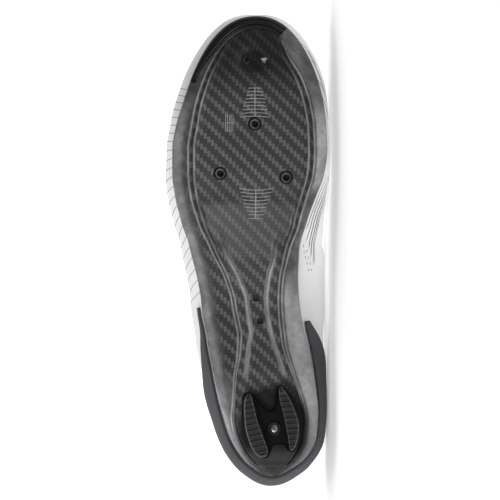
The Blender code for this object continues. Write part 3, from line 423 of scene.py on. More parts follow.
def mark_vertices(made, name, values):
    """A number for each point of a fresh grid, kept under a name that a material can read."""
    layer = made.verts.layers.float.new(name)
    flat = values.ravel()
    for number, corner in enumerate(made.verts):
        corner[layer] = float(flat[number])


def triangles(item):
    return sum(len(face.vertices) - 2 for face in item.data.polygons)


def close_up(made, distance=2e-6):
    """Merges what meets, fills open ends and turns the faces outwards."""
    bmesh.ops.remove_doubles(made, verts=made.verts, dist=distance)
    bmesh.ops.dissolve_degenerate(made, dist=1e-7, edges=made.edges)
    open_edges = [side for side in made.edges if side.is_boundary]
    if open_edges:
        bmesh.ops.holes_fill(made, edges=open_edges, sides=0)
    bmesh.ops.recalc_face_normals(made, faces=made.faces)
    return made


def piece(name, made, materials, replaced=(), smooth=35.0, upright=True):
    """A finished piece: laid down with the shoe, shaded, on its body, and the parts it replaces hidden."""
    if upright:
        bmesh.ops.transform(made, matrix=LAID_DOWN, verts=made.verts)
    mesh = bpy.data.meshes.new(name)
    made.to_mesh(mesh)
    made.free()
    mesh.shade_smooth()
    mesh.set_sharp_from_angle(angle=math.radians(smooth))
    item = bpy.data.objects.new(name, mesh)
    bpy.context.scene.collection.objects.link(item)
    for material in materials:
        mesh.materials.append(material)
    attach(item, "root")
    if replaced:
        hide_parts(*replaced)
    return item


def give_wall(item, thickness, side, bevel=0.0, inner_slot=0):
    """A real thickness, with a rounded rim, and another material inside where one is given."""
    wall = item.modifiers.new("wall", "SOLIDIFY")
    wall.thickness = thickness
    wall.offset = side
    wall.use_even_offset = True
    wall.use_rim = True
    wall.material_offset = inner_slot
    if bevel:
        rounding = item.modifiers.new("rounded_rim", "BEVEL")
        rounding.width = bevel
        rounding.segments = 3
        rounding.limit_method = "ANGLE"
        rounding.angle_limit = math.radians(50)
    return item


print("helpers ready; matrix determinant:", round(LAID_DOWN.determinant(), 4))

# %% [markdown]
# ## Helpers for materials
# A material is a small graph of nodes. These helpers add a node, set its numbers and join it, so that each
# finish below reads as a short recipe. Everything is read from Object coordinates, in metres, so a grain
# keeps its size.

# %% Node helpers
def add_node(tree, kind, inputs=(), **settings):
    node = tree.nodes.new(kind)
    for name, value in settings.items():
        setattr(node, name, value)
    for name, value in dict(inputs).items():
        if isinstance(value, bpy.types.NodeSocket):
            tree.links.new(value, node.inputs[name])
        else:
            node.inputs[name].default_value = value
    return node


def calc(tree, operation, *values, clamp=False):
    node = tree.nodes.new("ShaderNodeMath")
    node.operation = operation
    node.use_clamp = clamp
    for number, value in enumerate(values):
        if isinstance(value, bpy.types.NodeSocket):
            tree.links.new(value, node.inputs[number])
        else:
            node.inputs[number].default_value = value
    return node.outputs[0]


def blend_values(tree, factor, low, high):
    """low where the factor is 0, high where it is 1."""
    return calc(tree, "MULTIPLY_ADD", factor, calc(tree, "SUBTRACT", high, low), low)


def blend_colours(tree, factor, low, high):
    node = tree.nodes.new("ShaderNodeMix")
    node.data_type = "RGBA"
    for socket, value in ((node.inputs[0], factor), (node.inputs[6], low), (node.inputs[7], high)):
        if isinstance(value, bpy.types.NodeSocket):
            tree.links.new(value, socket)
        else:
            socket.default_value = (*value, 1.0) if isinstance(value, tuple) else value
    return node.outputs[2]


def ramp(tree, value, low, high):
    """0 below low, 1 above high, smooth between."""
    node = add_node(tree, "ShaderNodeMapRange", {"Value": value, "From Min": low, "From Max": high})
    node.interpolation_type = "SMOOTHSTEP"
    return node.outputs[0]


def grain(tree, scale, detail=3.0, roughness=0.55, vector=None):
    place = vector or add_node(tree, "ShaderNodeTexCoord").outputs["Object"]
    inputs = {"Vector": place, "Scale": scale, "Detail": detail, "Roughness": roughness}
    return add_node(tree, "ShaderNodeTexNoise", inputs).outputs["Fac"]


def new_material(name, colour, roughness, metallic=0.0, **sockets):
    material = bpy.data.materials.new(name)
    material.use_nodes = True
    material.diffuse_color = (*colour, 1.0)
    shader = material.node_tree.nodes["Principled BSDF"]
    shader.inputs["Base Color"].default_value = (*colour, 1.0)
    shader.inputs["Roughness"].default_value = roughness
    shader.inputs["Metallic"].default_value = metallic
    for socket, value in sockets.items():
        shader.inputs[socket.replace("_", " ")].default_value = value
    return material, material.node_tree, shader


def bump(tree, shader, height, distance, strength=1.0):
    node = add_node(tree, "ShaderNodeBump", {"Height": height, "Distance": distance, "Strength": strength})
    tree.links.new(node.outputs["Normal"], shader.inputs["Normal"])


print("node helpers ready")

# %% [markdown]
# ## Carbon twill under clear coat
# The sole is pressed from woven carbon: tows 2 mm wide go over two and under two, and each row starts one
# tow further on, which makes the diagonal. An image could show it, but a weave worked out from the place in
# metres stays sharp at any distance. Tows that run along the shoe catch more light than those across it,
# each has fine fibres, and a thin clear coat lies smooth over all. On the flange and the ridges the cloth
# is stretched, and the weave fades into cloudy grey. Three attributes of the mesh say how smooth the cloth
# is pressed, where a highlight is painted on as light grey, on the crests and in bands along the flange,
# and where shade is painted on as near black, at the toe, under the arch, between the ridges and round the
# pad.

# %% Carbon material
TOW = 0.00200
WEAVE_LIGHT = (0.125, 0.126, 0.128)
WEAVE_DARK = (0.050, 0.050, 0.051)
RESIN_LIGHT = (0.110, 0.111, 0.112)
RESIN_DARK = (0.042, 0.042, 0.043)
# Mottled light greys painted on the ridge crests and the flange bands as their highlight
PAINTED_HIGHLIGHT_LIGHT = (0.500, 0.501, 0.503)
PAINTED_HIGHLIGHT_DARK = (0.280, 0.281, 0.283)
WEAVE_GAP = (0.006, 0.006, 0.007)
DEEP_SHADE = (0.004, 0.004, 0.0045)
COAT, COAT_LOSS_IN_SHADE = 0.28, 0.26


def carbon_material():
    material, tree, shader = new_material(
        "carbon", (0.045, 0.047, 0.05), 0.42, Coat_Roughness=0.14, Coat_IOR=1.45, Specular_IOR_Level=0.15,
    )
    place = add_node(tree, "ShaderNodeTexCoord").outputs["Object"]
    axes = add_node(tree, "ShaderNodeSeparateXYZ", {"Vector": place}).outputs
    lengthwise, crosswise = axes["X"], axes["Z"]
    u = calc(tree, "MULTIPLY_ADD", lengthwise, 1 / TOW, 400.0)
    v = calc(tree, "MULTIPLY_ADD", crosswise, 1 / TOW, 400.0)
    row, line = calc(tree, "FLOOR", u), calc(tree, "FLOOR", v)
    in_row, in_line = calc(tree, "FRACT", u), calc(tree, "FRACT", v)
    step = calc(tree, "MODULO", calc(tree, "ADD", calc(tree, "SUBTRACT", row, line), 400.0), 4.0)
    is_warp = calc(tree, "LESS_THAN", step, 1.5)
    warp_along = calc(tree, "MULTIPLY", calc(tree, "ADD", step, in_row), 0.5)
    weft_along = calc(tree, "MULTIPLY", calc(tree, "ADD", calc(tree, "SUBTRACT", 3.0, step), in_line), 0.5)
    along = blend_values(tree, is_warp, weft_along, warp_along)
    across = blend_values(tree, is_warp, in_row, in_line)
    side = calc(tree, "MULTIPLY_ADD", across, 2.0, -1.0)
    end = calc(tree, "MULTIPLY_ADD", along, 2.0, -1.0)
    crown = calc(tree, "SUBTRACT", 1.0, calc(tree, "POWER", calc(tree, "ABSOLUTE", side), 3.0))
    dive = calc(tree, "SUBTRACT", 1.0, calc(tree, "POWER", calc(tree, "ABSOLUTE", end), 4.0))
    height = calc(tree, "MULTIPLY", crown, dive)
    fibre_place = add_node(tree, "ShaderNodeCombineXYZ", {
        "X": calc(tree, "MULTIPLY", blend_values(tree, is_warp, crosswise, lengthwise), 120.0),
        "Y": calc(tree, "MULTIPLY", blend_values(tree, is_warp, lengthwise, crosswise), 3600.0),
        "Z": calc(tree, "MULTIPLY", is_warp, 7.0),
    }).outputs[0]
    fibre = grain(tree, 1.0, 2.0, 0.6, fibre_place)
    cloud = grain(tree, 90.0, 4.0, 0.6)
    patch = grain(tree, 420.0, 3.0, 0.6)
    weave = blend_colours(tree, is_warp, WEAVE_DARK, WEAVE_LIGHT)
    shade = calc(tree, "MULTIPLY", calc(tree, "MULTIPLY_ADD", height, 0.55, 0.45),
                 calc(tree, "MULTIPLY_ADD", fibre, 0.9, 0.55))
    shade = calc(tree, "MULTIPLY", shade, calc(tree, "MULTIPLY_ADD", cloud, 0.7, 0.55))
    speck = grain(tree, 1500.0, 2.0, 0.7)
    shade = calc(tree, "MULTIPLY", shade, calc(tree, "MULTIPLY_ADD", speck, 1.3, 0.35))
    woven = blend_colours(tree, shade, WEAVE_GAP, weave)
    patchy = calc(tree, "MULTIPLY_ADD", patch, 1.6, 0.2)
    mottle = calc(tree, "MULTIPLY", ramp(tree, cloud, 0.30, 0.72), patchy)
    resin = blend_colours(tree, mottle, RESIN_DARK, RESIN_LIGHT)
    resin = blend_colours(tree, 0.22, resin, woven)
    smooth = add_node(tree, "ShaderNodeAttribute", attribute_name="smooth").outputs["Fac"]
    light = add_node(tree, "ShaderNodeAttribute", attribute_name="light").outputs["Fac"]
    shadow = add_node(tree, "ShaderNodeAttribute", attribute_name="shadow").outputs["Fac"]
    colour = blend_colours(tree, smooth, woven, resin)
    # Painted highlight: where the light attribute says, the colour turns to a mottled light grey
    colour = blend_colours(tree, light, colour, blend_colours(tree, mottle, PAINTED_HIGHLIGHT_DARK, PAINTED_HIGHLIGHT_LIGHT))
    # Painted shade: where the shadow attribute says, the colour turns near black and the clear coat thins
    colour = blend_colours(tree, shadow, colour, DEEP_SHADE)
    coat = calc(tree, "MULTIPLY_ADD", shadow, -COAT_LOSS_IN_SHADE, COAT)
    tree.links.new(coat, shader.inputs["Coat Weight"])
    tree.links.new(colour, shader.inputs["Base Color"])
    tree.links.new(calc(tree, "MULTIPLY_ADD", fibre, 0.25, 0.28), shader.inputs["Roughness"])
    relief = calc(tree, "MULTIPLY", height, calc(tree, "SUBTRACT", 1.0, smooth))
    bump(tree, shader, relief, 0.00006, 0.6)
    return material


carbon = carbon_material()
print("the carbon weave repeats every", round(1000 * 4 * TOW, 1), "mm")

# %% [markdown]
# ## Rubber, plastic, steel, microfibre, shell and cloth
# The other finishes share one idea: a base colour with a slow change, a roughness that wanders a little,
# and a fine grain in the bump. Only the sizes differ: moulded plastic has a spark-eroded grain of a tenth
# of a millimetre, microfibre a soft pebble of half a millimetre, and knitted lining a regular loop. The
# highlights along edges, on the bumper and the lugs, are painted in lighter grey where an attribute of
# their mesh says.

# %% The other materials
STEEL_DARK, STEEL_LIGHT = (0.13, 0.13, 0.135), (0.24, 0.24, 0.245)
WHITE_LEATHER = (0.80, 0.80, 0.795)


def grained(name, colour, roughness, grain_size, depth, change=0.15, painted_highlight=None, **sockets):
    """A finish with a fine grain, a slow change of shade and, where a colour is given, highlights painted
    along edges.
    """
    material, tree, shader = new_material(name, colour, roughness, **sockets)
    fine = grain(tree, 1 / grain_size, 2.0)
    slow = grain(tree, 45.0, 4.0)
    low = tuple(value * (1 - change) for value in colour)
    high = tuple(min(value * (1 + change), 1.0) for value in colour)
    tone = blend_colours(tree, ramp(tree, slow, 0.3, 0.7), low, high)
    if painted_highlight:
        light = add_node(tree, "ShaderNodeAttribute", attribute_name="light").outputs["Fac"]
        tone = blend_colours(tree, light, tone, painted_highlight)
    tree.links.new(tone, shader.inputs["Base Color"])
    wander = calc(tree, "MULTIPLY_ADD", slow, 0.16, roughness - 0.08)
    tree.links.new(calc(tree, "MULTIPLY_ADD", fine, 0.08, wander), shader.inputs["Roughness"])
    bump(tree, shader, fine, depth)
    return material


def microfibre_material(name, colour):
    """White synthetic leather: a soft pebble with fine pores, satin, with a slight sheen."""
    material, tree, shader = new_material(
        name, colour, 0.46, Sheen_Weight=0.04, Sheen_Roughness=0.4, Specular_IOR_Level=0.25,
    )
    place = add_node(tree, "ShaderNodeTexCoord").outputs["Object"]
    pebble = add_node(tree, "ShaderNodeTexVoronoi", {"Vector": place, "Scale": 1500.0}, feature="SMOOTH_F1")
    slow = grain(tree, 30.0, 3.0)
    fine = grain(tree, 5200.0, 2.0)
    low = tuple(value * 0.965 for value in colour)
    tone = blend_colours(tree, ramp(tree, slow, 0.3, 0.7), low, colour)
    tree.links.new(tone, shader.inputs["Base Color"])
    tree.links.new(calc(tree, "MULTIPLY_ADD", fine, 0.14, 0.40), shader.inputs["Roughness"])
    height = calc(tree, "MULTIPLY_ADD", fine, 0.3, pebble.outputs["Distance"])
    bump(tree, shader, height, 0.00005, 0.6)
    return material


def knit_material(name, colour, loop):
    """Knitted lining: small loops in rows, each a soft bump with a dark gap."""
    material, tree, shader = new_material(name, colour, 0.88, Sheen_Weight=0.35, Sheen_Roughness=0.5)
    place = add_node(tree, "ShaderNodeTexCoord").outputs["Object"]
    axes = add_node(tree, "ShaderNodeSeparateXYZ", {"Vector": place}).outputs
    turn = 2 * math.pi / loop
    waves = [calc(tree, "SINE", calc(tree, "MULTIPLY", axes[axis], turn)) for axis in ("X", "Y", "Z")]
    loops = calc(tree, "MULTIPLY", waves[0], calc(tree, "ADD", waves[1], waves[2]))
    height = calc(tree, "MULTIPLY_ADD", loops, 0.25, 0.5)
    fuzz = grain(tree, 2600.0, 3.0)
    hairy = calc(tree, "MULTIPLY_ADD", fuzz, 0.8, 0.6)
    shade = calc(tree, "MULTIPLY", ramp(tree, height, 0.25, 0.75), hairy)
    dark = tuple(value * 0.35 for value in colour)
    light = tuple(value * 1.5 for value in colour)
    tree.links.new(blend_colours(tree, shade, dark, light), shader.inputs["Base Color"])
    bump(tree, shader, calc(tree, "MULTIPLY_ADD", fuzz, 0.3, height), 0.00025)
    return material


def turned_steel_material():
    """Machined steel: dull, a little uneven in shade, with fine scratches."""
    material, tree, shader = new_material("steel", (0.19, 0.19, 0.195), 0.30, 1.0)
    scratch = grain(tree, 3000.0, 2.0)
    slow = grain(tree, 600.0, 3.0)
    tone = blend_colours(tree, slow, STEEL_DARK, STEEL_LIGHT)
    tree.links.new(tone, shader.inputs["Base Color"])
    tree.links.new(calc(tree, "MULTIPLY_ADD", scratch, 0.25, 0.18), shader.inputs["Roughness"])
    bump(tree, shader, scratch, 0.00002)
    return material


# Lighter greys painted as highlights along the edges of the bumper's steps and of the lugs
RUBBER_EDGE_HIGHLIGHT = (0.30, 0.30, 0.30)
PLASTIC_EDGE_HIGHLIGHT = (0.24, 0.24, 0.24)
rubber = grained(
    "black_rubber", (0.007, 0.007, 0.0075), 0.46, 0.00025, 0.00003, 0.25, RUBBER_EDGE_HIGHLIGHT,
    Specular_IOR_Level=0.22,
)
black_plastic = grained(
    "black_plastic", (0.005, 0.005, 0.0055), 0.40, 0.00018, 0.00002, 0.25, Specular_IOR_Level=0.25,
)
steel = turned_steel_material()
microfibre = microfibre_material("white_microfibre", WHITE_LEATHER)
strap_leather = microfibre_material("white_strap", WHITE_LEATHER)
shell = grained(
    "grey_shell", (0.075, 0.076, 0.079), 0.60, 0.00022, 0.00002, 0.08, Specular_IOR_Level=0.08,
)
# The lugs and the pad's base are one moulding in two copies of its plastic: the lugs a lighter one, light
# painted on their ribs, and the base a near-black one, shade painted in the recess round them
lug_plastic = grained(
    "lug_plastic", (0.011, 0.011, 0.0115), 0.42, 0.00018, 0.00002, 0.25, PLASTIC_EDGE_HIGHLIGHT,
    Specular_IOR_Level=0.35,
)
painted_shade_plastic = grained(
    "painted_shade_plastic", (0.002, 0.002, 0.0022), 0.5, 0.00018, 0.00002, 0.25, Specular_IOR_Level=0.10,
)
lining = knit_material("black_lining", (0.022, 0.022, 0.024), 0.0011)
white_ink = grained("grey_ink", (0.34, 0.34, 0.345), 0.45, 0.0004, 0.00001, 0.2)
dark_ink = grained("dark_ink", (0.045, 0.046, 0.05), 0.45, 0.0004, 0.00001, 0.2)
thread = grained("white_thread", (0.80, 0.80, 0.79), 0.60, 0.00012, 0.00004, 0.1)
gauze = knit_material("white_gauze", (0.66, 0.66, 0.65), 0.0012)
print("materials:", len(bpy.data.materials))

# %% [markdown]
# ## The outsole
# The sole is a dished carbon shell: its flange turns up round the foot, a double ridge runs along each
# side, a channel narrows under the arch, and a recess at the heel takes the pad. It could be cut from a
# block, but a moulded shell is a skin that follows its own ridges, so each row of the grid is one section,
# and its columns gather where the section bends. The row closes on itself over the rim and the inside.

# %% Outsole shell
SPANS = (5, 5, 4, 2, 2, 4, 3, 4, 3, 10, 10, 3, 4, 3, 4, 2, 2, 4, 5, 5)
EDGE_ROUND = 0.0006
PAD_CENTRE = np.array((SOLE_BACK + 0.1048 * SOLE_LENGTH, 0.202 * SOLE_HEEL_WIDTH))
PAD_SHADE_LENGTH, PAD_SHADE_WIDTH = 0.0460, 0.0380
OUTER_CRESTS, INNER_CRESTS, WALLS = (3, 17), (5, 15), (8, 12)
# Where a painted highlight, a painted shade or smooth cloth begins and where it is full: in shares along
# the sole, or in metres from what it follows
FADES = {
    "crest": (0.0009, 0.0001), "crest_heel": (0.02, 0.12), "crest_toe": (0.95, 0.86),
    "wall": (0.0017, 0.0008), "wall_heel": (0.20, 0.25), "wall_ball": (0.52, 0.46),
    "flange_heel": (0.04, 0.12), "lateral_edge": (0.0068, 0.0030), "lateral_toe": (0.74, 0.84),
    "lateral_heel": (0.245, 0.205), "medial_inside": (0.0006, 0.0022), "medial_ball": (0.60, 0.645),
    "medial_toe": (0.76, 0.86), "medial_arch": (0.47, 0.37), "toe_shade": (0.80, 0.91),
    "arch_shade": (0.65, 0.58), "waist_shade": (0.44, 0.50), "heel_shade": (0.045, 0.015),
    "gap_shade": (0.0012, 0.0022), "pad_shade": (1.18, 0.92), "heel_cloth": (0.155, 0.120),
    "toe_cloth": (0.955, 0.99), "lateral_cloth": (0.0095, 0.0065),
}
# How strong a highlight or how deep a shade is painted for each of them
LIGHTS = {"crest": 0.70, "wall": 0.60, "lateral": 0.50, "lateral_heel": 0.25, "medial": 0.85, "arch": 0.85}
SHADES = {"toe": 0.75, "arch": 0.38, "gap": 0.4, "pad": 0.92, "heel": 0.6, "scoop": 0.9}
HEEL_CLOTH = 0.8


def faded(name, value):
    return ease(*FADES[name], value)


def nearest(share, width, knots, numbers):
    """The distance in metres to the nearest of some knots of the section."""
    return min(abs(share - knots[number][0]) for number in numbers) * width


def pad_shade(along, share, width):
    """How deep a point lies in the shade round the heel pad."""
    ahead = SOLE_BACK + along * SOLE_LENGTH - PAD_CENTRE[0]
    aside = edge(LATERAL, along)[1] + share * width - PAD_CENTRE[1]
    return faded("pad_shade", math.hypot(ahead * 2 / PAD_SHADE_LENGTH, aside * 2 / PAD_SHADE_WIDTH))


def flange_light(along, share, width, lateral, medial):
    """How strong a highlight is painted on the flange: a band at the lateral edge, and one beside the medial
    ridge.
    """
    heel_end = faded("flange_heel", along)
    outer = faded("lateral_edge", share * width) * (1 - 0.9 * faded("lateral_toe", along))
    outer *= 0.3 + 0.7 * heel_end
    if share < lateral:
        outer = max(outer, faded("lateral_heel", along) * LIGHTS["lateral_heel"] * heel_end)
    inner = faded("medial_ball", along) * (1 - 0.85 * faded("medial_toe", along))
    inner += faded("medial_arch", along) * LIGHTS["arch"]
    inner *= faded("medial_inside", (share - medial) * width) * (0.3 + 0.7 * heel_end)
    return max(outer * LIGHTS["lateral"], inner * LIGHTS["medial"])


def sole_shadow(along, share, width, knots, crest):
    """How deep a point lies in shade: at the toe and under the arch, between the ridges, round the pad."""
    plate, gap = 0.0, 0.0
    if knots[OUTER_CRESTS[0]][0] < share < knots[OUTER_CRESTS[1]][0]:
        arch = SHADES["arch"] * faded("arch_shade", along) * faded("waist_shade", along)
        plate = max(faded("toe_shade", along) * SHADES["toe"], arch)
    (low, high), (low_medial, high_medial) = (
        sorted((knots[outer][0], knots[inner][0])) for outer, inner in zip(OUTER_CRESTS, INNER_CRESTS)
    )
    if low < share < high or low_medial < share < high_medial:
        gap = SHADES["gap"] * faded("gap_shade", (high - low) * width) * (1 - crest)
    pad = pad_shade(along, share, width) * SHADES["pad"]
    return max(plate, gap, pad, SHADES["heel"] * faded("heel_shade", along))


def sole_tones(along, share, width, knots):
    """How smooth the cloth is pressed at a point, how strong a highlight and how deep a shade are painted on
    it.
    """
    lateral, medial = (knots[number][0] for number in OUTER_CRESTS)
    crest = faded("crest", nearest(share, width, knots, OUTER_CRESTS + INNER_CRESTS))
    crest *= faded("crest_heel", along) * faded("crest_toe", along)
    wall = faded("wall", nearest(share, width, knots, WALLS))
    wall *= faded("wall_heel", along) * faded("wall_ball", along)
    hollow = scoop(along, share) / SCOOP_DEPTH * SHADES["scoop"]
    flange = flange_light(along, share, width, lateral, medial)
    light = max(crest * LIGHTS["crest"], wall * LIGHTS["wall"], flange) * (1 - hollow)
    pressed = min(max((share - medial) / (1 - medial), 0.0) * 4, 1.0)
    if share < lateral:
        pressed = faded("lateral_cloth", share * width)
    smooth = max(pressed, faded("heel_cloth", along) * HEEL_CLOTH, faded("toe_cloth", along), wall, crest)
    return smooth, light, max(hollow, sole_shadow(along, share, width, knots, crest))


def sole_section(along):
    """One closed section, with its cloth's smoothness and its painted highlight and shade at each point."""
    low_y, high_y = edge(LATERAL, along)[1], edge(MEDIAL, along)[1]
    width = max(high_y - low_y, 1e-6)
    knots = relief_columns(along, width)
    shares = [knots[0][0]]
    for (start, _), (end, _), count in zip(knots, knots[1:], SPANS):
        shares += [start + (end - start) * i / count for i in range(1, count + 1)]
    places, heights = np.array([k[0] for k in knots]), np.array([k[1] for k in knots])
    corner = min(EDGE_ROUND / width, 0.02)
    shares[0], shares[-1] = corner, 1 - corner
    x = SOLE_BACK + along * SOLE_LENGTH
    points, tones = [], []
    for share in shares:
        z = underside(along, share, curve(places, heights, share))
        points.append((x, low_y + width * share, z))
        tones.append(sole_tones(along, share, width, knots))
    rim = min(RIM_WIDTH / width, 0.3)
    for share, part in ((1.0, 0.3), (1.0, 1.0)):
        points.append((x, high_y, underside(along, 1.0) + EDGE_ROUND * part))
    for share in (1.0, 1 - rim, 1 - rim - DISH_SLOPE, 0.5, rim + DISH_SLOPE, rim, 0.0):
        points.append((x, low_y + width * share, topside(along, share)))
    for part in (1.0, 0.3):
        points.append((x, low_y, underside(along, 0.0) + EDGE_ROUND * part))
    points.append(points[0])
    # The rim and the upper face: smooth cloth with a little painted highlight and no painted shade
    tones += [(1.0, 0.25, 0.0)] * (len(points) - len(tones))
    return points, tones


sections = [sole_section(along) for along in stations(240)]
sole_grid = grid_mesh(np.array([section[0] for section in sections]))
sole_looks = np.array([section[1] for section in sections])
for number, name in enumerate(("smooth", "light", "shadow")):
    mark_vertices(sole_grid, name, sole_looks[:, :, number])
close_up(sole_grid, 5e-6)
outsole = piece("outsole_shell", sole_grid, [carbon], ["outsole"], 40)
print("outsole triangles:", triangles(outsole))

# %% [markdown]
# ## Holes through the sole
# Three stepped holes take the bolt seats, two three-cornered vents sit in the hollow at the toe, and two
# small square ones under the arch. A hole is easiest as a Boolean with a plain cutter, applied at once, so
# that no cutter is left in the scene. White gauze shows through one of the toe vents.

# %% Vents and bolt holes
RING_DIAMETER = 0.0076
INSERT_DIAMETER = 0.0057
INSERT_BORE = 0.0039
INSERT_PROUD = 0.0004
BOLT_TRIANGLE_WIDTH = 0.0369
BOLT_TRIANGLE_HEIGHT = 0.0288
REAR_BOLT_SKEW = 0.06
FRONT_BOLT = np.array((SOLE_BACK + 0.7635 * SOLE_LENGTH, -0.003 * SOLE_WIDTH))
REAR_BOLT_MIDDLE = FRONT_BOLT + (-BOLT_TRIANGLE_HEIGHT, -0.010 * SOLE_WIDTH)
REAR_BOLT_ARM = BOLT_TRIANGLE_WIDTH / 2 * np.array((-math.sin(REAR_BOLT_SKEW), math.cos(REAR_BOLT_SKEW)))
BOLTS = {
    "front": FRONT_BOLT,
    LATERAL: REAR_BOLT_MIDDLE - REAR_BOLT_ARM,
    MEDIAL: REAR_BOLT_MIDDLE + REAR_BOLT_ARM,
}
TOE_VENTS = np.array((SOLE_BACK + 0.9030 * SOLE_LENGTH, 0.001 * SOLE_WIDTH))
TOE_VENT_SPACING = 0.0096
MIDFOOT_VENTS = np.array((SOLE_BACK + 0.3615 * SOLE_LENGTH, 0.0193 * SOLE_WIDTH))
MIDFOOT_VENT_SPACING = 0.0129
MIDFOOT_VENT_SKEW = 0.0011
TOE_VENT_RADIUS, TOE_VENT_ROUND = 0.0023, 0.0006
MIDFOOT_VENT_RADIUS, MIDFOOT_VENT_ROUND = 0.0024, 0.0004
# Which way from the middle each vent lies, and how far the toe vent there is turned
VENT_TURNS = ((-1, 0.30), (1, -0.12))
RING_GAP = 0.00005
DRILL = 0.040


def bolt_low(centre):
    return underside(along_of(centre[0]), across_of(centre)) - INSERT_PROUD


def drill(sides, radius, centre, turn=0.0, bevel=0.0):
    """A cutter with so many sides, its axis upright, its corners rounded."""
    made = bmesh.new()
    bmesh.ops.create_cone(
        made, cap_ends=True, segments=sides, radius1=radius, radius2=radius, depth=DRILL,
        matrix=Matrix.Translation((*centre, 0.0)) @ Matrix.Rotation(turn, 4, "Z"),
    )
    if bevel:
        upright = [side for side in made.edges if abs(side.verts[0].co.z - side.verts[1].co.z) > DRILL / 2]
        bmesh.ops.bevel(
            made, geom=upright, offset=bevel, segments=3, affect="EDGES", profile=0.5, material=-1,
        )
    bmesh.ops.transform(made, matrix=LAID_DOWN, verts=made.verts)
    return made


def cut_with(item, cutters):
    """Cuts every cutter from the piece and keeps the result as its mesh."""
    tools = []
    for number, made in enumerate(cutters):
        mesh = bpy.data.meshes.new("cutter")
        made.to_mesh(mesh)
        made.free()
        tool = bpy.data.objects.new(f"cutter_{number}", mesh)
        bpy.context.scene.collection.objects.link(tool)
        step = item.modifiers.new(tool.name, "BOOLEAN")
        step.operation = "DIFFERENCE"
        step.solver = "EXACT"
        step.object = tool
        tools.append(tool)
    graph = bpy.context.evaluated_depsgraph_get()
    result = bpy.data.meshes.new_from_object(item.evaluated_get(graph))
    item.modifiers.clear()
    item.data = result
    for tool in tools:
        bpy.data.objects.remove(tool, do_unlink=True)


holes = [drill(48, RING_DIAMETER / 2 + RING_GAP, centre) for centre in BOLTS.values()]
for sign, lean in VENT_TURNS:
    place = TOE_VENTS + (0, sign * TOE_VENT_SPACING / 2)
    holes.append(drill(3, TOE_VENT_RADIUS, place, math.pi / 2 + lean, TOE_VENT_ROUND))
    place = MIDFOOT_VENTS + (sign * MIDFOOT_VENT_SPACING / 2, -sign * MIDFOOT_VENT_SKEW)
    holes.append(drill(4, MIDFOOT_VENT_RADIUS, place, math.pi / 4 + 0.12 * sign, MIDFOOT_VENT_ROUND))
cut_with(outsole, holes)
outsole.data.shade_smooth()
outsole.data.set_sharp_from_angle(angle=math.radians(40))
print("holes:", len(holes), "sole triangles:", triangles(outsole))

# %% Gauze behind a toe vent
GAUZE_RADIUS, GAUZE_THICKNESS, GAUZE_GAP = 0.0030, 0.0001, 0.00008


def vent_gauze(centre):
    """A round of white gauze, glued on the shell's upper face behind one toe vent."""
    made = bmesh.new()
    height = topside(along_of(centre[0]), across_of(centre)) + GAUZE_GAP
    bmesh.ops.create_circle(
        made, cap_ends=True, segments=32, radius=GAUZE_RADIUS, matrix=Matrix.Translation((*centre, height)),
    )
    grown = bmesh.ops.extrude_face_region(made, geom=made.faces[:])
    raised = [part for part in grown["geom"] if isinstance(part, bmesh.types.BMVert)]
    bmesh.ops.translate(made, verts=raised, vec=(0, 0, GAUZE_THICKNESS))
    return piece("toe_vent_gauze", close_up(made), [gauze])


print("gauze triangles:", triangles(vent_gauze(TOE_VENTS + (0, TOE_VENT_SPACING / 2))))

# %% [markdown]
# ## Bolt seats
# A cleat is held by three bolts in steel inserts, each in a black ring. These are turned parts, so each is
# a profile that is spun round its axis: chamfered rims, and in the bore a few grooves that stand for the
# thread.

# %% Rings and inserts
def turned(profile, centre, sides=48):
    """A closed profile of (radius, height) pairs, spun round an upright axis."""
    made = bmesh.new()
    corners = [made.verts.new((centre[0] + radius, centre[1], height)) for radius, height in profile]
    edges = [made.edges.new(pair) for pair in zip(corners, corners[1:] + corners[:1])]
    bmesh.ops.spin(
        made, geom=corners + edges, cent=(centre[0], centre[1], 0), axis=(0, 0, 1), angle=2 * math.pi,
        steps=sides, use_merge=True,
    )
    return close_up(made)


def make_bolt_seat(name, centre):
    low = bolt_low(centre)
    high = low + INSERT_PROUD + PLATE
    outer, middle, bore = RING_DIAMETER / 2, INSERT_DIAMETER / 2, INSERT_BORE / 2
    round_off = 0.0002
    ring = [
        (middle + 0.0001, low + 0.0003), (middle + 0.0004, low), (outer - 0.0004, low),
        (outer - 0.0001, low + round_off), (outer, low + 2 * round_off), (outer, high),
        (middle + 0.0001, high),
    ]
    piece("bolt_ring_" + name, turned(ring, centre), [black_plastic], ["ring_" + name])
    insert = [(middle, high), (middle, low + round_off), (middle - round_off, low), (bore + 0.0005, low)]
    pitch, turns = 0.0004, 5
    for number in range(turns):
        top = low + 0.0004 + number * pitch
        insert += [(bore, top), (bore + 0.0002, top + pitch / 2)]
    insert.append((bore, high))
    return piece("bolt_insert_" + name, turned(insert, centre), [steel], ["insert_" + name], 25)


for name, centre in BOLTS.items():
    print("bolt seat", name, "triangles:", triangles(make_bolt_seat(name, centre)))

# %% [markdown]
# ## Toe bumper
# Black rubber is moulded round the toe in steps, wide at the front and thinning to a point on the lateral
# side. It could be swept along a path, but its section changes all the way, so it is a grid again: one row
# for each place round the toe, and columns that gather where a step has its edge.

# %% Rubber toe bumper
BUMPER_WIDTH = 0.0074
BUMPER_STEP = 0.0009
BUMPER_ENDS = {LATERAL: 0.856, MEDIAL: 0.974}
BUMPER_END_SHARE = 0.45
BUMPER_ROWS, BUMPER_COLUMNS = 90, 73
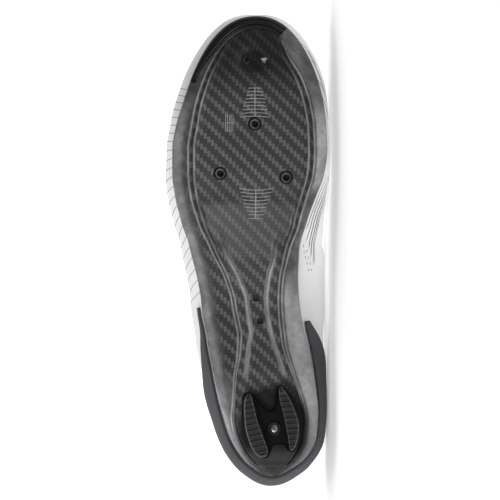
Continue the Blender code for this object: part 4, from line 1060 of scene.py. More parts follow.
# Across the bumper from its inner edge: share of its width, height in steps
BUMPER_STEPS = (
    (0.00, 0.3), (0.03, 0.95), (0.05, 1.1), (0.19, 1.15), (0.21, 1.0), (0.23, 0.4), (0.34, 0.4), (0.36, 1.0),
    (0.38, 1.2), (0.56, 1.3), (0.58, 1.15), (0.60, 0.6), (0.72, 0.6), (0.74, 1.0), (0.76, 1.2), (0.90, 1.1),
    (0.95, 0.9), (0.98, 0.55), (1.00, 0.0),
)


def bumper_places(count):
    start, end = (round_share(BUMPER_ENDS[side]) for side in (LATERAL, MEDIAL))
    lateral = [(LATERAL, turn) for turn in np.linspace(start, 1, count)]
    medial = [(MEDIAL, turn) for turn in np.linspace(1, end, count // 2)[1:]]
    for number, (side, turn) in enumerate(lateral + medial):
        grown = BUMPER_END_SHARE + (1 - BUMPER_END_SHARE) * ease(0, 0.4 * count, number)
        yield side, (1 - math.cos(math.pi * turn)) / 2, BUMPER_WIDTH * grown


def bumper_section(side, along, width):
    away = outward(side, along)
    outer = edge(side, along)
    inner = outer - away * (width - CLEARANCE)
    places, steps = (np.array([row[k] for row in BUMPER_STEPS]) for k in (0, 1))
    points = []
    for share in np.linspace(0, 1, BUMPER_COLUMNS):
        spot = inner + (outer - inner) * share
        base = underside(along_of(spot[0]), min(max(across_of(spot), 0.0), 1.0))
        points.append((*spot, base - curve(places, steps, share) * BUMPER_STEP))
    for share in (1.0, 0.6, 0.3, 0.0):
        spot = inner + (outer - inner) * share
        points.append((*spot, topside(along_of(spot[0]), min(max(across_of(spot), 0.0), 1.0))))
    return points + points[:1]


# Painted highlight lines along the bumper's steps: share across, strength;
# then their reach to both sides, in shares across
BUMPER_LINES = ((0.04, 1.0), (0.20, 0.8), (0.38, 0.6))
BUMPER_LINE_REACH = (0.016, 0.004)
# Where along the bumper, in shares of the lateral run, the lines begin and where they fade to their least
BUMPER_LINES_START, BUMPER_LINES_FADE, BUMPER_LINES_LEAST = (0.0, 0.06), (0.95, 0.55), 0.12


def bumper_light(row, step):
    """Painted highlight lines along the steps, strong only on the lateral side."""
    if step >= BUMPER_COLUMNS:
        return 0.0
    share, part = step / (BUMPER_COLUMNS - 1), row / BUMPER_ROWS
    line = max(ease(*BUMPER_LINE_REACH, abs(share - place)) * power for place, power in BUMPER_LINES)
    strength = BUMPER_LINES_LEAST + (1 - BUMPER_LINES_LEAST) * ease(*BUMPER_LINES_FADE, part)
    return line * strength * ease(*BUMPER_LINES_START, part)


bumper_rows = np.array([bumper_section(*place) for place in bumper_places(BUMPER_ROWS)])
bumper_grid = grid_mesh(bumper_rows)
steps = range(bumper_rows.shape[1])
painted_highlight = [[bumper_light(row, step) for step in steps] for row in range(len(bumper_rows))]
mark_vertices(bumper_grid, "light", np.array(painted_highlight))
bumper = piece("toe_bumper_rubber", close_up(bumper_grid), [rubber], ["toe_bumper"], 50)
print("bumper triangles:", triangles(bumper))

# %% [markdown]
# ## Heel pad
# The walker's heel is a black plastic pad with a V-shaped base and two ribbed lugs, held by one screw. The
# base is an outline, extruded and bevelled. Each lug is a leaf: rows of rounded sections, with a row lifted
# wherever a groove runs across, all slanted as the ribs are. A boss carries the screw.

# %% Base of the heel pad
PAD_LENGTH, PAD_WIDTH = 0.0397, 0.0321
PAD_BASE = 0.0032
PAD_RIB_DEPTH, PAD_RIB_PITCH = 0.0009, 0.0030
PAD_DRAFT = 0.0011
PAD_RIBS = 10
FIRST_RIB = 0.0016
PAD_TOP = HEEL_LIFT + RECESS_DEPTH - CLEARANCE
# Outline of the base: along and across, in shares of the pad's length and width
PAD_OUTLINE = (
    (0.530, -0.450), (0.455, -0.550), (0.345, -0.565), (0.090, -0.553), (-0.140, -0.485), (-0.340, -0.360),
    (-0.420, -0.240), (-0.420, -0.105), (-0.340, -0.060), (-0.231, -0.020), (-0.231, 0.170), (-0.330, 0.250),
    (-0.330, 0.345), (-0.260, 0.405), (-0.080, 0.458), (0.030, 0.462), (0.245, 0.400), (0.445, 0.295),
    (0.550, 0.215), (0.630, 0.120), (0.560, 0.025), (0.275, 0.005), (0.240, -0.050), (0.245, -0.130),
    (0.475, -0.350),
)
# Steps of the base's low face: inset, drop, even all round
PAD_STEPS = ((0.0003, 0.0003, True), (0.0005, 0.0, False), (0.0003, -0.0005, False))
# Outlines of the lugs in the same shares: along, lateral and medial edge
LATERAL_LUG = (
    (-0.400, -0.240, -0.120), (-0.344, -0.336, -0.087), (-0.141, -0.463, -0.167), (0.093, -0.533, -0.267),
    (0.346, -0.545, -0.341), (0.440, -0.530, -0.370), (0.501, -0.470, -0.420),
)
MEDIAL_LUG = (
    (-0.308, 0.268, 0.330), (-0.259, 0.242, 0.385), (-0.076, 0.206, 0.444), (0.023, 0.181, 0.450),
    (0.241, 0.125, 0.385), (0.440, 0.062, 0.275), (0.540, 0.055, 0.195), (0.600, 0.085, 0.135),
)
LUG_ROUND = 0.0005
# The columns that run along a lug's two edges, and how strong a highlight is painted on them
LUG_EDGES, LUG_HIGHLIGHT = (4, 5, 10, 11), 0.6
# The lug's two ends: place, height in shares of the base; one rib: place in its pitch, depth under the tread
LUG_BACK = ((0.0, 0.8), (0.1, 0.4), (0.35, 0.12), (0.8, 0.0))
LUG_RIB = ((0.00, 1.0), (0.03, 0.35), (0.08, 0.0), (0.54, 0.0), (0.59, 0.35), (0.62, 1.0), (0.95, 1.0))
LUG_NOSE = ((0.25, 0.05), (0.45, 0.13), (0.65, 0.28), (0.85, 0.50), (0.95, 0.72), (1.00, 0.94))


def rounded_outline(points, times=3):
    """Cuts the corners of a closed outline again and again until it runs round."""
    line = np.array(points, float)
    for _ in range(times):
        after = np.roll(line, -1, axis=0)
        line = np.stack([line * 0.8 + after * 0.2, line * 0.2 + after * 0.8], axis=1).reshape(-1, 2)
    return line


def pad_base():
    outline = rounded_outline(PAD_OUTLINE) * (PAD_LENGTH, PAD_WIDTH) + PAD_CENTRE
    made = bmesh.new()
    face = made.faces.new([made.verts.new((*place, PAD_TOP)) for place in outline])
    grown = bmesh.ops.extrude_face_region(made, geom=[face])
    lowered = [part for part in grown["geom"] if isinstance(part, bmesh.types.BMVert)]
    bmesh.ops.translate(made, verts=lowered, vec=(0, 0, -PAD_BASE))
    bmesh.ops.recalc_face_normals(made, faces=made.faces)
    low_face = min(made.faces, key=lambda side: side.calc_center_median().z)
    for inset, drop, even in PAD_STEPS:
        bmesh.ops.inset_region(
            made, faces=[low_face], thickness=inset, depth=drop, use_even_offset=even,
        )
    return close_up(made)


base = piece("heel_pad_base", pad_base(), [painted_shade_plastic], ["heel_pad"], 30)
print("pad base triangles:", triangles(base))

# %% Ribbed lugs of the heel pad
def lug(table, slant):
    rows = np.array(table)
    back, front = rows[0, 0] * PAD_LENGTH, rows[-1, 0] * PAD_LENGTH
    marks = [(back + FIRST_RIB * share, PAD_BASE * lift) for share, lift in LUG_BACK]
    for number in range(PAD_RIBS):
        start = back + FIRST_RIB + number * PAD_RIB_PITCH
        marks += [(start + PAD_RIB_PITCH * share, PAD_RIB_DEPTH * depth) for share, depth in LUG_RIB]
    last = marks[-1][0]
    marks += [(last + (front - last) * share, PAD_BASE * lift) for share, lift in LUG_NOSE]
    sections = []
    for x, tread in marks:
        left, right = (curve(rows[:, 0], rows[:, k], x / PAD_LENGTH) * PAD_WIDTH for k in (1, 2))
        draft = min(PAD_DRAFT, (right - left) * 0.3)
        low = PAD_TOP - PAD_BASE
        side = [(left, PAD_TOP), (left, low), (left + draft * 0.45, low * 0.45 + tread * 0.55)]
        for turn in np.linspace(0.2, 1.0, 5):
            swing = turn * math.pi / 2
            inwards, lift = 1 - math.cos(swing), 1 - math.sin(swing)
            side.append((left + draft * (0.8 + 0.5 * inwards), tread + LUG_ROUND * lift))
        other = [(left + right - y, z) for y, z in reversed(side)]
        middle = (left + right) / 2
        ring = side + other
        ring.append(ring[0])
        sections.append([(PAD_CENTRE[0] + x + slant * (y - middle), PAD_CENTRE[1] + y, z) for y, z in ring])
    made = grid_mesh(np.array(sections))
    painted_highlight = [LUG_HIGHLIGHT if step in LUG_EDGES else 0.0 for step in range(len(sections[0]))]
    mark_vertices(made, "light", np.array([painted_highlight] * len(sections)))
    return close_up(made)


for name, table, slant in ((LATERAL, LATERAL_LUG, 0.22), (MEDIAL, MEDIAL_LUG, 0.05)):
    tread = piece("heel_lug_" + name, lug(table, slant), [lug_plastic], smooth=28)
    print(name, "lug triangles:", triangles(tread))

# %% Boss and screw
BOSS_DIAMETER, BOSS_HEIGHT = 0.0076, 0.0010
SCREW_HEAD, SCREW_SHANK, SCREW_HEAD_HEIGHT = 0.0046, 0.0028, 0.0015
SCREW_ROUND, SLOT_SIZE, SLOT_TURN = 0.0006, (0.0026, 0.0006, 0.0018), 0.4


def make_screw():
    boss_low = PAD_TOP - PAD_BASE - BOSS_HEIGHT
    seat, outer = SCREW_HEAD / 2 + 0.00015, BOSS_DIAMETER / 2
    boss = [
        (SCREW_SHANK / 2, PAD_TOP - 0.0006), (SCREW_SHANK / 2, boss_low + BOSS_HEIGHT),
        (seat, boss_low + BOSS_HEIGHT), (seat, boss_low + 0.0002), (seat + 0.0002, boss_low),
        (outer - 0.0003, boss_low), (outer, boss_low + 0.0003), (outer, PAD_TOP - 0.0006),
    ]
    piece("heel_boss", turned(boss, PAD_CENTRE), [black_plastic])
    high = boss_low + BOSS_HEIGHT - 0.0001
    low = high - SCREW_HEAD_HEIGHT
    radius = SCREW_HEAD / 2
    head = [(0.0, high), (radius, high), (radius, low + SCREW_ROUND)]
    for turn in np.linspace(0.15, 1.0, 6):
        swing = turn * math.pi / 2
        head.append((radius * math.cos(swing) * 0.98, low + SCREW_ROUND * (1 - math.sin(swing))))
    screw = piece("heel_screw_head", turned(head, PAD_CENTRE), [steel], ["heel_screw"], 30)
    slots = []
    for number in range(2):
        made = bmesh.new()
        turn = Matrix.Rotation(SLOT_TURN + number * math.pi / 2, 4, "Z")
        size = Matrix.Diagonal((*SLOT_SIZE, 1))
        bmesh.ops.create_cube(made, size=1.0, matrix=Matrix.Translation((*PAD_CENTRE, low)) @ turn @ size)
        bmesh.ops.transform(made, matrix=LAID_DOWN, verts=made.verts)
        slots.append(made)
    cut_with(screw, slots)
    return screw


print("screw triangles:", triangles(make_screw()))

# %% [markdown]
# ## The upper
# The upper is sewn from white microfibre over a last. Both sides are grids of ribs that run from the sole
# to the top line; they are merged at the toe, over the vamp and up the back of the heel, and Solidify gives
# the wall its 1.8 mm, with the black lining as the material of its inner face. A bevel rounds the rim of
# the collar and throat.

# %% Upper shell
def joined(parts):
    """Several bmeshes as one."""
    total = bmesh.new()
    for part in parts:
        mesh = bpy.data.meshes.new("part")
        part.to_mesh(mesh)
        part.free()
        total.from_mesh(mesh)
        bpy.data.meshes.remove(mesh)
    return total


def face_outwards(made):
    """Turns an open skin so that its faces point away from the inside of the shoe."""
    bmesh.ops.recalc_face_normals(made, faces=made.faces)
    score = 0.0
    for face in made.faces:
        centre = face.calc_center_median()
        score += face.normal.dot(centre - Vector(inside_of(centre))) * face.calc_area()
    if score < 0:
        bmesh.ops.reverse_faces(made, faces=made.faces)
    return made


def upper_rows(side):
    shares = list(np.linspace(0, WAIST_SHARE, 12)[:-1]) + list(np.linspace(WAIST_SHARE, 1, 32))
    return np.array([[upper_point(side, along, share) for share in shares] for along in stations(150)])


def make_upper():
    made = joined([grid_mesh(upper_rows(side)) for side in (LATERAL, MEDIAL)])
    bmesh.ops.remove_doubles(made, verts=made.verts, dist=2e-6)
    bmesh.ops.dissolve_degenerate(made, dist=1e-7, edges=made.edges)
    item = piece("upper_shell", face_outwards(made), [microfibre, lining], ["upper"], 60)
    return give_wall(item, UPPER_WALL, -1, bevel=0.0006, inner_slot=1)


upper = make_upper()
print("upper triangles before its wall:", triangles(upper))

# %% [markdown]
# ## Heel cup
# A stiff grey shell is bonded round the heel, high at the back and running out low in front on both sides.
# It is the upper's own surface, moved out by a hair, so it hugs it exactly.

# %% Grey heel cup
COUNTER_CLEARANCE = CLEARANCE * 2.4
COUNTER_THICKNESS = 0.0015
COUNTER_RISE = 0.0365
COUNTER_ENDS = {LATERAL: 0.366, MEDIAL: 0.335}
COUNTER_TAPERS = {LATERAL: 2.0, MEDIAL: 1.1}
COUNTER_FOOT, COUNTER_TIP = 0.02, 0.04


def make_heel_cup():
    rows = []
    for side, order in ((LATERAL, 1), (MEDIAL, -1)):
        end = COUNTER_ENDS[side]
        places = [share for share in stations(110) if share < end - 0.004] + [end]
        places = places[::-order]
        for along in places[1 if side == MEDIAL else 0:]:
            back = (1 - along / end) ** COUNTER_TAPERS[side]
            tall = upper_point(side, along, 1)[2] - upper_point(side, along, 0)[2]
            high_share = COUNTER_TIP + COUNTER_RISE / tall * back
            rows.append([upper_point(side, along, s) for s in np.linspace(COUNTER_FOOT, high_share, 22)])
    grid = np.array(rows)
    grid += grid_normals(grid) * COUNTER_CLEARANCE
    made = face_outwards(grid_mesh(grid))
    item = piece("heel_cup", made, [shell], ["heel_counter"], 45)
    return give_wall(item, COUNTER_THICKNESS, 1, bevel=0.0005)


heel_cup = make_heel_cup()
print("heel cup triangles before its wall:", triangles(heel_cup))

# %% [markdown]
# ## Tongue, insole and straps
# The tongue is a padded sheet under the throat. It is a closed pad: an outer face and an inner one that
# swell apart away from the edge, with sewn channels across it. The insole is a thin footbed on the sole,
# and the straps are flat bands that cross the throat and end free on the lateral side.

# %% Padded tongue
TONGUE_THICKNESS = 0.0036
TONGUE_CLEARANCE = CLEARANCE * 2
TONGUE_TAB = 0.0240
TONGUE_PLACES = (0.735, 0.705, 0.680, 0.650, 0.615, 0.575, 0.535, 0.495, 0.455, 0.418)
TONGUE_TAB_SHAPE = ((0.30, 0.88), (0.55, 0.84), (0.75, 0.76), (0.90, 0.64), (1.0, 0.50))
CHANNELS = 11


def finer(grid, rows, columns):
    """A grid of points read again with more rows and columns, on smooth curves."""
    for count, axis in ((rows, 0), (columns, 1)):
        steps = np.arange(grid.shape[axis], dtype=float)
        places = np.linspace(0, steps[-1], count)
        moved = np.moveaxis(grid, axis, 0).reshape(len(steps), -1)
        columns_read = [[curve(steps, column_values, place) for column_values in moved.T] for place in places]
        read = np.array(columns_read)
        shape = [count] + [size for number, size in enumerate(grid.shape) if number != axis]
        grid = np.moveaxis(read.reshape(shape), 0, axis)
    return grid


def tongue_face():
    rows = []
    for along in TONGUE_PLACES:
        reach = 0.70 + 0.27 * ease(0.54, 0.43, along)
        rows.append(over_crest(along, reach, reach, 11))
    grid = np.array(rows)
    grid -= grid_normals(grid) * (UPPER_WALL + TONGUE_CLEARANCE)
    run = grid[-1].mean(axis=0) - grid[-2].mean(axis=0)
    run /= np.linalg.norm(run)
    centre = grid[-1].mean(axis=0)
    tab = []
    for reach, narrow in TONGUE_TAB_SHAPE:
        tab.append(centre + (grid[-1] - centre) * narrow + run * TONGUE_TAB * reach)
    return finer(np.concatenate([grid, np.array(tab)]), 120, 41)


def swollen(grid, thickness, edge_reach, channels=0, channel_depth=0.0):
    """A closed pad under a face: thin at its edge, thick inside, with sewn channels across it."""
    rows, count = grid.shape[:2]
    normals = grid_normals(grid)
    across = np.minimum(np.arange(count), np.arange(count)[::-1]) / (count - 1) / edge_reach
    ahead = np.minimum(np.arange(rows), np.arange(rows)[::-1]) / (rows - 1) / (edge_reach * 0.5)
    fill = np.sqrt(1 - (1 - np.clip(np.minimum(across[None, :], ahead[:, None]), 0, 1)) ** 2)
    sewn = np.zeros(rows)
    if channels:
        sewn = np.abs(np.cos(np.linspace(0, channels * math.pi, rows))) ** 14 * channel_depth
    top = grid - normals * (thickness * 0.5 * (1 - fill) + sewn[:, None] * fill)[:, :, None]
    low = grid - normals * (thickness * (0.5 + 0.5 * fill))[:, :, None]
    ring = np.concatenate([top, low[:, ::-1], top[:, :1]], axis=1)
    return close_up(grid_mesh(ring), 1e-6)


tongue = piece("padded_tongue", swollen(tongue_face(), TONGUE_THICKNESS, 0.10, CHANNELS, 0.0006), [lining],
               ["tongue"], 60)
print("tongue triangles:", triangles(tongue))

# %% Insole
INSOLE_THICKNESS = 0.0030
CURVED_CLEARANCE = CLEARANCE * 1.5


def seat_height(spot):
    """The highest part of the outsole's upper face close to a place in plan."""
    reach = RIM_WIDTH * 0.7
    heights = []
    for dx in (-reach, 0.0, reach):
        for dy in (-reach, 0.0, reach):
            near = spot + (dx, dy)
            along, across = np.clip((along_of(near[0]), across_of(near)), 0.0, 1.0)
            heights.append(topside(float(along), float(across)))
    return max(heights)


def make_insole():
    inset = FOOT_INSET + UPPER_WALL + CLEARANCE
    sections = []
    for along in stations(70):
        ends = [edge(side, along) - outward(side, along) * inset for side in (LATERAL, MEDIAL)]
        below, above = [], []
        for share in np.linspace(0, 1, 21):
            spot = ends[0] + (ends[1] - ends[0]) * share
            low = seat_height(spot) + CURVED_CLEARANCE
            crown = 1 - 0.35 * abs(2 * share - 1) ** 8
            below.append((*spot, low))
            above.append((*spot, low + INSOLE_THICKNESS * crown))
        sections.append(below + above[::-1] + below[:1])
    made = close_up(grid_mesh(np.array(sections)), 5e-6)
    return piece("footbed", made, [lining], ["insole"], 50)


insole = make_insole()
print("insole triangles:", triangles(insole))

# %% Straps over the throat
STRAP_THICKNESS = 0.0016
STRAP_WIDTH, INSTEP_STRAP_WIDTH = 0.0150, 0.0220
STRAP_FREE_END, STRAP_FIXED_END = 0.42, 0.80
STRAP_PLACES = {"strap_front": 0.618, "strap_middle": 0.540, "strap_instep": 0.452}


def strap_face(name, width):
    half = width / 2 / SOLE_LENGTH
    lines = []
    for share in np.linspace(-1, 1, 17):
        corner = max(abs(share) - 0.62, 0.0) / 0.38
        free_end = STRAP_FREE_END + 0.05 * share * share + 0.035 * (1 - math.sqrt(1 - min(corner, 0.98) ** 2))
        lines.append(over_crest(STRAP_PLACES[name] + half * share, free_end, STRAP_FIXED_END, 72))
    grid = np.array(lines)
    return grid + grid_normals(grid) * CURVED_CLEARANCE


STRAP_FACES = {}
for name in STRAP_PLACES:
    STRAP_FACES[name] = strap_face(name, INSTEP_STRAP_WIDTH if name == "strap_instep" else STRAP_WIDTH)
for name, grid in STRAP_FACES.items():
    made = face_outwards(grid_mesh(grid))
    strap = piece(name + "_band", made, [strap_leather, lining], [name], 50)
    give_wall(strap, STRAP_THICKNESS, 1, bevel=0.0004)
    print(name, "triangles before its wall:", triangles(strap))

# %% [markdown]
# ## Marks on the sole and lines on the upper
# Fitters set a cleat by the thin scale marks round its bolts: two fans of nine arcs on a centre line and a
# small ladder beside them. The upper carries thin dark lines: short slanted ones down the lateral side, and
# on the medial side leaves in front and strokes and dots that fan out at the arch. Each line is a narrow
# ribbon laid on the surface, a few hundredths of a millimetre proud, because a printed edge stays crisp in
# any light.

# %% Ribbons on a surface
def ribbon(path, normals, widths, proud):
    """A thin closed band along a path, its flat face along the normals."""
    path, normals = np.array(path), np.array(normals)
    ways = np.gradient(path, axis=0)
    sides = np.cross(normals, ways)
    sides /= np.maximum(np.linalg.norm(sides, axis=1, keepdims=True), 1e-12)
    half = sides * np.array(widths)[:, None] / 2
    ring = [path - half - normals * proud, path - half + normals * proud,
            path + half + normals * proud, path + half - normals * proud]
    return close_up(grid_mesh(np.stack(ring + ring[:1], axis=1)), 1e-7)


def mark_on_sole(start, bend, end, width=0.00028):
    """A ribbon on the underside along a gentle arc through three places in plan."""
    start, bend, end = (np.array(place) for place in (start, bend, end))
    path = []
    for u in np.linspace(0, 1, 13):
        place = start * (1 - u) * (1 - 2 * u) + bend * 4 * u * (1 - u) + end * u * (2 * u - 1)
        path.append((*place, underside(along_of(place[0]), across_of(place)) - 0.00003))
    return ribbon(path, [(0.0, 0.0, -1.0)] * len(path), [width] * len(path), 0.00003)


def fan(first_x, last_x, first_half, last_half, centre_y, droop, count=9):
    """Arcs of growing width across a centre line."""
    marks = []
    for share in np.linspace(0, 1, count):
        x = first_x + (last_x - first_x) * share
        half = first_half + (last_half - first_half) * share
        drop = droop * (half / max(first_half, last_half)) ** 2
        marks.append(mark_on_sole((x - drop, centre_y - half), (x, centre_y), (x - drop, centre_y + half)))
    middle = (first_x + last_x) / 2
    marks.append(mark_on_sole((first_x, centre_y), (middle, centre_y), (last_x, centre_y), 0.00034))
    return marks


# The fans: first and last x, first and last half width, centre line, droop
FRONT_FAN = (0.2231, 0.2073, 0.0037, 0.0080, -0.0002, 0.0007)
REAR_FAN = (0.1660, 0.1501, 0.0093, 0.0038, 0.0004, -0.0009)
# The ladder: three x and three y of its lines, its step and the width of a line
LADDER_X, LADDER_Y = (0.2084, 0.2035, 0.1985), (-0.0166, -0.0145, -0.0124)
LADDER_STEP, LADDER_WIDTH, LADDER_LINES = 0.00104, 0.00022, 5
marks = fan(*FRONT_FAN) + fan(*REAR_FAN)
for number in range(LADDER_LINES):
    y = LADDER_Y[0] + number * LADDER_STEP
    marks.append(mark_on_sole(*((x, y) for x in LADDER_X), LADDER_WIDTH))
marks.append(mark_on_sole(*((LADDER_X[1], y) for y in LADDER_Y), LADDER_WIDTH))
scale_marks = piece("cleat_scale_marks", joined(marks), [white_ink])
print("scale marks:", len(marks), "triangles:", triangles(scale_marks))

# %% Lines on the upper
def upper_frame(side, along, share):
    """A point on the upper with its outward normal."""
    before, after = max(along - 0.004, 0.0), min(along + 0.004, 1.0)
    ahead = upper_point(side, after, share) - upper_point(side, before, share)
    up = upper_point(side, along, min(share + 0.01, 1.0)) - upper_point(side, along, max(share - 0.01, 0.0))
    normal = np.cross(ahead, up) * (1 if side == LATERAL else -1)
    return upper_point(side, along, share), normal / np.linalg.norm(normal)


def line_on_upper(side, places, width, taper=(0.15, 0.35), proud=0.00004, count=40):
    """A ribbon through (x, share) places on one side, drawn out thin at its two ends."""
    places = np.array(places, float)
    steps = np.arange(len(places), dtype=float)
    path, normals, widths = [], [], []
    for u in np.linspace(0, 1, count):
        x, share = (curve(steps, places[:, k], u * steps[-1]) for k in (0, 1))
        point, normal = upper_frame(side, along_of(x), share)
        path.append(point)
        normals.append(normal)
        thin = min(u / taper[0] if taper[0] else 1, (1 - u) / taper[1] if taper[1] else 1, 1.0)
        widths.append(width * max(thin, 0.12))
    return ribbon(path, normals, widths, proud)


TICK_FRONT, TICK_BACK, TICKS, TICK_WIDTH = 0.2222, 0.1096, 23, 0.00032
# How far a tick leans back, in leans, and its share up the side
TICK_SHAPE = ((0.0, 0.004), (0.45, 0.12), (1.0, 0.25), (2.0, 0.42), (3.2, 0.58))
lines = []
for number in range(TICKS):
    part = number / (TICKS - 1)
    x = TICK_FRONT - (TICK_FRONT - TICK_BACK) * (0.72 * part + 0.28 * part * part)
    lean = 0.0006 + 0.0075 * ease(0.30, 0.75, part)
    places = [(x - lean * back, share) for back, share in TICK_SHAPE]
    lines.append(line_on_upper(LATERAL, places, TICK_WIDTH, (0.0, 0.6)))
# Lines of the medial side, as x and share, and width: leaves in front, then strokes that fan out at the arch
MEDIAL_LINES = (
    ((0.2500, 0.020), (0.2475, 0.056), (0.2440, 0.094), (0.2402, 0.112), (0.2350, 0.125), 0.00040),
    ((0.2450, 0.020), (0.2433, 0.078), (0.2382, 0.088), (0.2327, 0.098), (0.2280, 0.112), 0.00045),
    ((0.2400, 0.020), (0.2377, 0.078), (0.2318, 0.098), (0.2254, 0.108), (0.2200, 0.130), 0.00045),
    ((0.2300, 0.010), (0.2278, 0.034), (0.2233, 0.088), (0.2190, 0.148), (0.2140, 0.190), 0.00045),
    ((0.2210, 0.010), (0.2187, 0.034), (0.2117, 0.114), (0.2050, 0.240), 0.00040),
    ((0.1750, 0.100), (0.1651, 0.054), (0.1564, 0.038), (0.1470, 0.028), (0.1441, 0.020), 0.00055),
    ((0.1750, 0.165), (0.1657, 0.102), (0.1569, 0.064), (0.1462, 0.053), (0.1379, 0.048), 0.00065),
    ((0.1740, 0.205), (0.1645, 0.138), (0.1573, 0.096), (0.1463, 0.076), (0.1332, 0.072), 0.00075),
    ((0.1740, 0.240), (0.1621, 0.152), (0.1526, 0.108), (0.1420, 0.094), (0.1281, 0.086), 0.00075),
    ((0.1700, 0.250), (0.1602, 0.164), (0.1508, 0.122), (0.1400, 0.108), (0.1242, 0.104), 0.00055),
    ((0.1640, 0.230), (0.1530, 0.140), (0.1436, 0.124), (0.1336, 0.116), (0.1243, 0.116), 0.00035),
)
MEDIAL_DOTS = ((0.1352, 0.034), (0.1315, 0.040), (0.1286, 0.050), (0.1251, 0.062), (0.1216, 0.072),
               (0.1323, 0.058), (0.1283, 0.070), (0.1251, 0.082), (0.1217, 0.092))
DOT_REACH, DOT_WIDTH = np.array((0.0008, -0.001)), 0.0005
for dot in MEDIAL_DOTS:
    lines.append(line_on_upper(MEDIAL, [dot + DOT_REACH, dot - DOT_REACH], DOT_WIDTH, count=8))
for *places, width in MEDIAL_LINES:
    lines.append(line_on_upper(MEDIAL, places, width, (0.35, 0.06), count=50))
upper_lines = piece("upper_lines", joined(lines), [dark_ink])
print("lines on the upper:", len(lines), "triangles:", triangles(upper_lines))

# %% [markdown]
# ## Stitches
# Each seam is a row of short raised stitches, one every 2.6 mm: round the collar, beside the throat and
# along both edges of every strap. A stitch is the same ribbon as before, only shorter, thicker and white.

# %% Rows of stitches
STITCH, STITCH_PITCH, STITCH_WIDTH = 0.0018, 0.0026, 0.00055
STITCH_PROUD, STITCH_CROWN = 0.00008, 0.00012
# Seams on each side of the upper: first and last place along the sole, share up the side
SEAMS = ((0.03, 0.40, 0.955), (0.42, 0.655, 0.950), (0.42, 0.655, 0.915))


def stitch_row(path, normals):
    """Short ribbons, evenly spaced along a path over a surface."""
    path, normals = np.array(path), np.array(normals)
    runs = np.concatenate(([0.0], np.cumsum(np.linalg.norm(np.diff(path, axis=0), axis=1))))
    row = []
    for start in np.arange(STITCH_PITCH, runs[-1] - STITCH_PITCH, STITCH_PITCH):
        places = start + STITCH * np.linspace(0, 1, 4)
        spots, ways = (np.stack([np.interp(places, runs, part[:, k]) for k in range(3)], axis=1)
                       for part in (path, normals))
        spots += ways * (STITCH_CROWN * np.array((-1, 1, 1, -1)))[:, None]
        row.append(ribbon(spots, ways, STITCH_WIDTH * np.array((0.5, 1, 1, 0.5)), STITCH_PROUD))
    return row


stitches = []
for side in (LATERAL, MEDIAL):
    for first, last, share in SEAMS:
        framed = [upper_frame(side, along, share) for along in np.linspace(first, last, 90)]
        stitches += stitch_row([spot for spot, _ in framed], [way for _, way in framed])
for grid in STRAP_FACES.values():
    normals = grid_normals(grid)
    face = grid + normals * STRAP_THICKNESS
    for line in (1, -2):
        stitches += stitch_row(face[line, 2:-2], normals[line, 2:-2])
seams = piece("seam_stitches", joined(stitches), [thread], smooth=60)
print("stitches:", len(stitches), "triangles:", triangles(seams))

# %% [markdown]
# ## Stage, camera and light
# The camera looks along the sole's normal from far away, as a long lens does, turned so that the toe points
# up in the picture. It stays just above the floor, which is seen almost edge on, so the shoe's shadow is a
# thin grey band beside it. One soft light hangs over the shoe, a little behind it, and one stands low in
# front on the heel's side. The far floor and the wall glow, which gives the white ground. An image of a
# studio could do the same, but a few plain surfaces and lamps are easier to read and to change.

# %% Floor, backdrop, lights and camera
SOLE_NORMAL = (LAID_DOWN.to_3x3() @ Vector((0, 0, -1))).normalized()
FRAME_WIDTH = 0.2795
DISTANCE = 4.0
SENSOR = 36.0
VIEW_CENTRE = LAID_DOWN @ Vector((0.1325, -0.0028, 0.004))
STAGE_WHITE = (0.92, 0.92, 0.92)
STAGE_GLOW = {"studio_floor": 0.28, "studio_wall": 1.1}
FLOOR_FRONT, FLOOR_SIDE, GLOW_FROM = -6.0, 6.0, 0.5
# The sweep's steps from the front edge: the floor, its glowing far part, the curve up and the wall
SWEEP_STEPS = ((0, 6.9, 0), (0, 3.1, 0), (0, 0.6, 0.25), (0, 0.3, 0.7), (0, 0, 5))
# Area lights: place, size and power in watts; all aim at one point
AREA_LIGHTS = {
    "overhead": ((0.0, 0.75, 1.25), (0.9, 0.5), 8),
    "front_fill": ((-1.3, -1.4, 0.55), (1.3, 0.8), 26),
}
LIGHTS_AIM = (0, 0, 0.04)
WORLD_STRENGTH = 0.22


def plain_material(name, colour, glow):
    sockets = {"Emission_Color": (1.0, 1.0, 1.0, 1.0), "Emission_Strength": glow}
    return new_material(name, colour, 0.9, **sockets)[0]


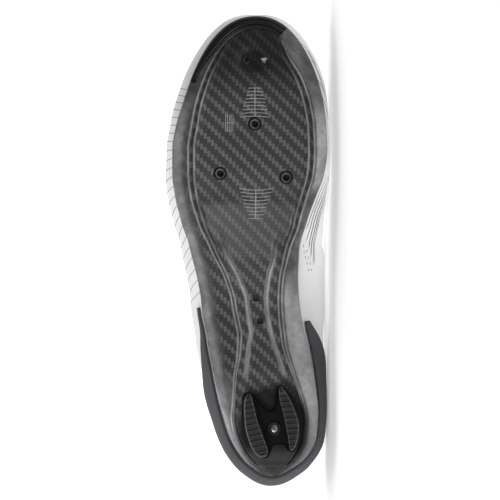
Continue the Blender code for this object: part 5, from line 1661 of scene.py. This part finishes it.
def make_stage():
    made = bmesh.new()
    edges = [made.edges.new([made.verts.new((x, FLOOR_FRONT, 0)) for x in (-FLOOR_SIDE, FLOOR_SIDE)])]
    for step in SWEEP_STEPS:
        grown = bmesh.ops.extrude_edge_only(made, edges=edges)
        verts = [part for part in grown["geom"] if isinstance(part, bmesh.types.BMVert)]
        edges = [part for part in grown["geom"] if isinstance(part, bmesh.types.BMEdge)]
        bmesh.ops.translate(made, verts=verts, vec=step)
    bmesh.ops.recalc_face_normals(made, faces=made.faces)
    mesh = bpy.data.meshes.new("studio_sweep")
    made.to_mesh(mesh)
    made.free()
    for name, glow in STAGE_GLOW.items():
        mesh.materials.append(plain_material(name, STAGE_WHITE, glow))
    for face in mesh.polygons:
        face.material_index = 0 if face.center.y < GLOW_FROM else 1
    sweep = bpy.data.objects.new("studio_sweep", mesh)
    bpy.context.scene.collection.objects.link(sweep)


def area_light(name, place, size, power):
    data = bpy.data.lights.new(name, "AREA")
    data.shape = "RECTANGLE"
    data.size, data.size_y = size
    data.energy = power
    light = bpy.data.objects.new(name, data)
    light.location = place
    light.rotation_euler = (Vector(LIGHTS_AIM) - Vector(place)).to_track_quat("-Z", "Y").to_euler()
    bpy.context.scene.collection.objects.link(light)


def make_camera():
    data = bpy.data.cameras.new("camera")
    data.sensor_width = SENSOR
    data.lens = SENSOR * DISTANCE / FRAME_WIDTH
    data.clip_end = 50.0
    camera = bpy.data.objects.new("camera", data)
    up = Vector((1, 0, 0))
    back = SOLE_NORMAL
    right = up.cross(back).normalized()
    up = back.cross(right)
    turn = Matrix((right, up, back)).transposed().to_4x4()
    camera.matrix_world = Matrix.Translation(VIEW_CENTRE + back * DISTANCE) @ turn
    bpy.context.scene.collection.objects.link(camera)
    bpy.context.scene.camera = camera


world = bpy.data.worlds.new("studio")
world.use_nodes = True
world.node_tree.nodes["Background"].inputs["Color"].default_value = (1.0, 1.0, 1.0, 1.0)
world.node_tree.nodes["Background"].inputs["Strength"].default_value = WORLD_STRENGTH
bpy.context.scene.world = world
bpy.context.scene.view_settings.view_transform = "Standard"
make_stage()
for name, (place, size, power) in AREA_LIGHTS.items():
    area_light(name, place, size, power)
make_camera()
print("camera over the floor in mm:", round(1000 * bpy.context.scene.camera.matrix_world.translation.z))
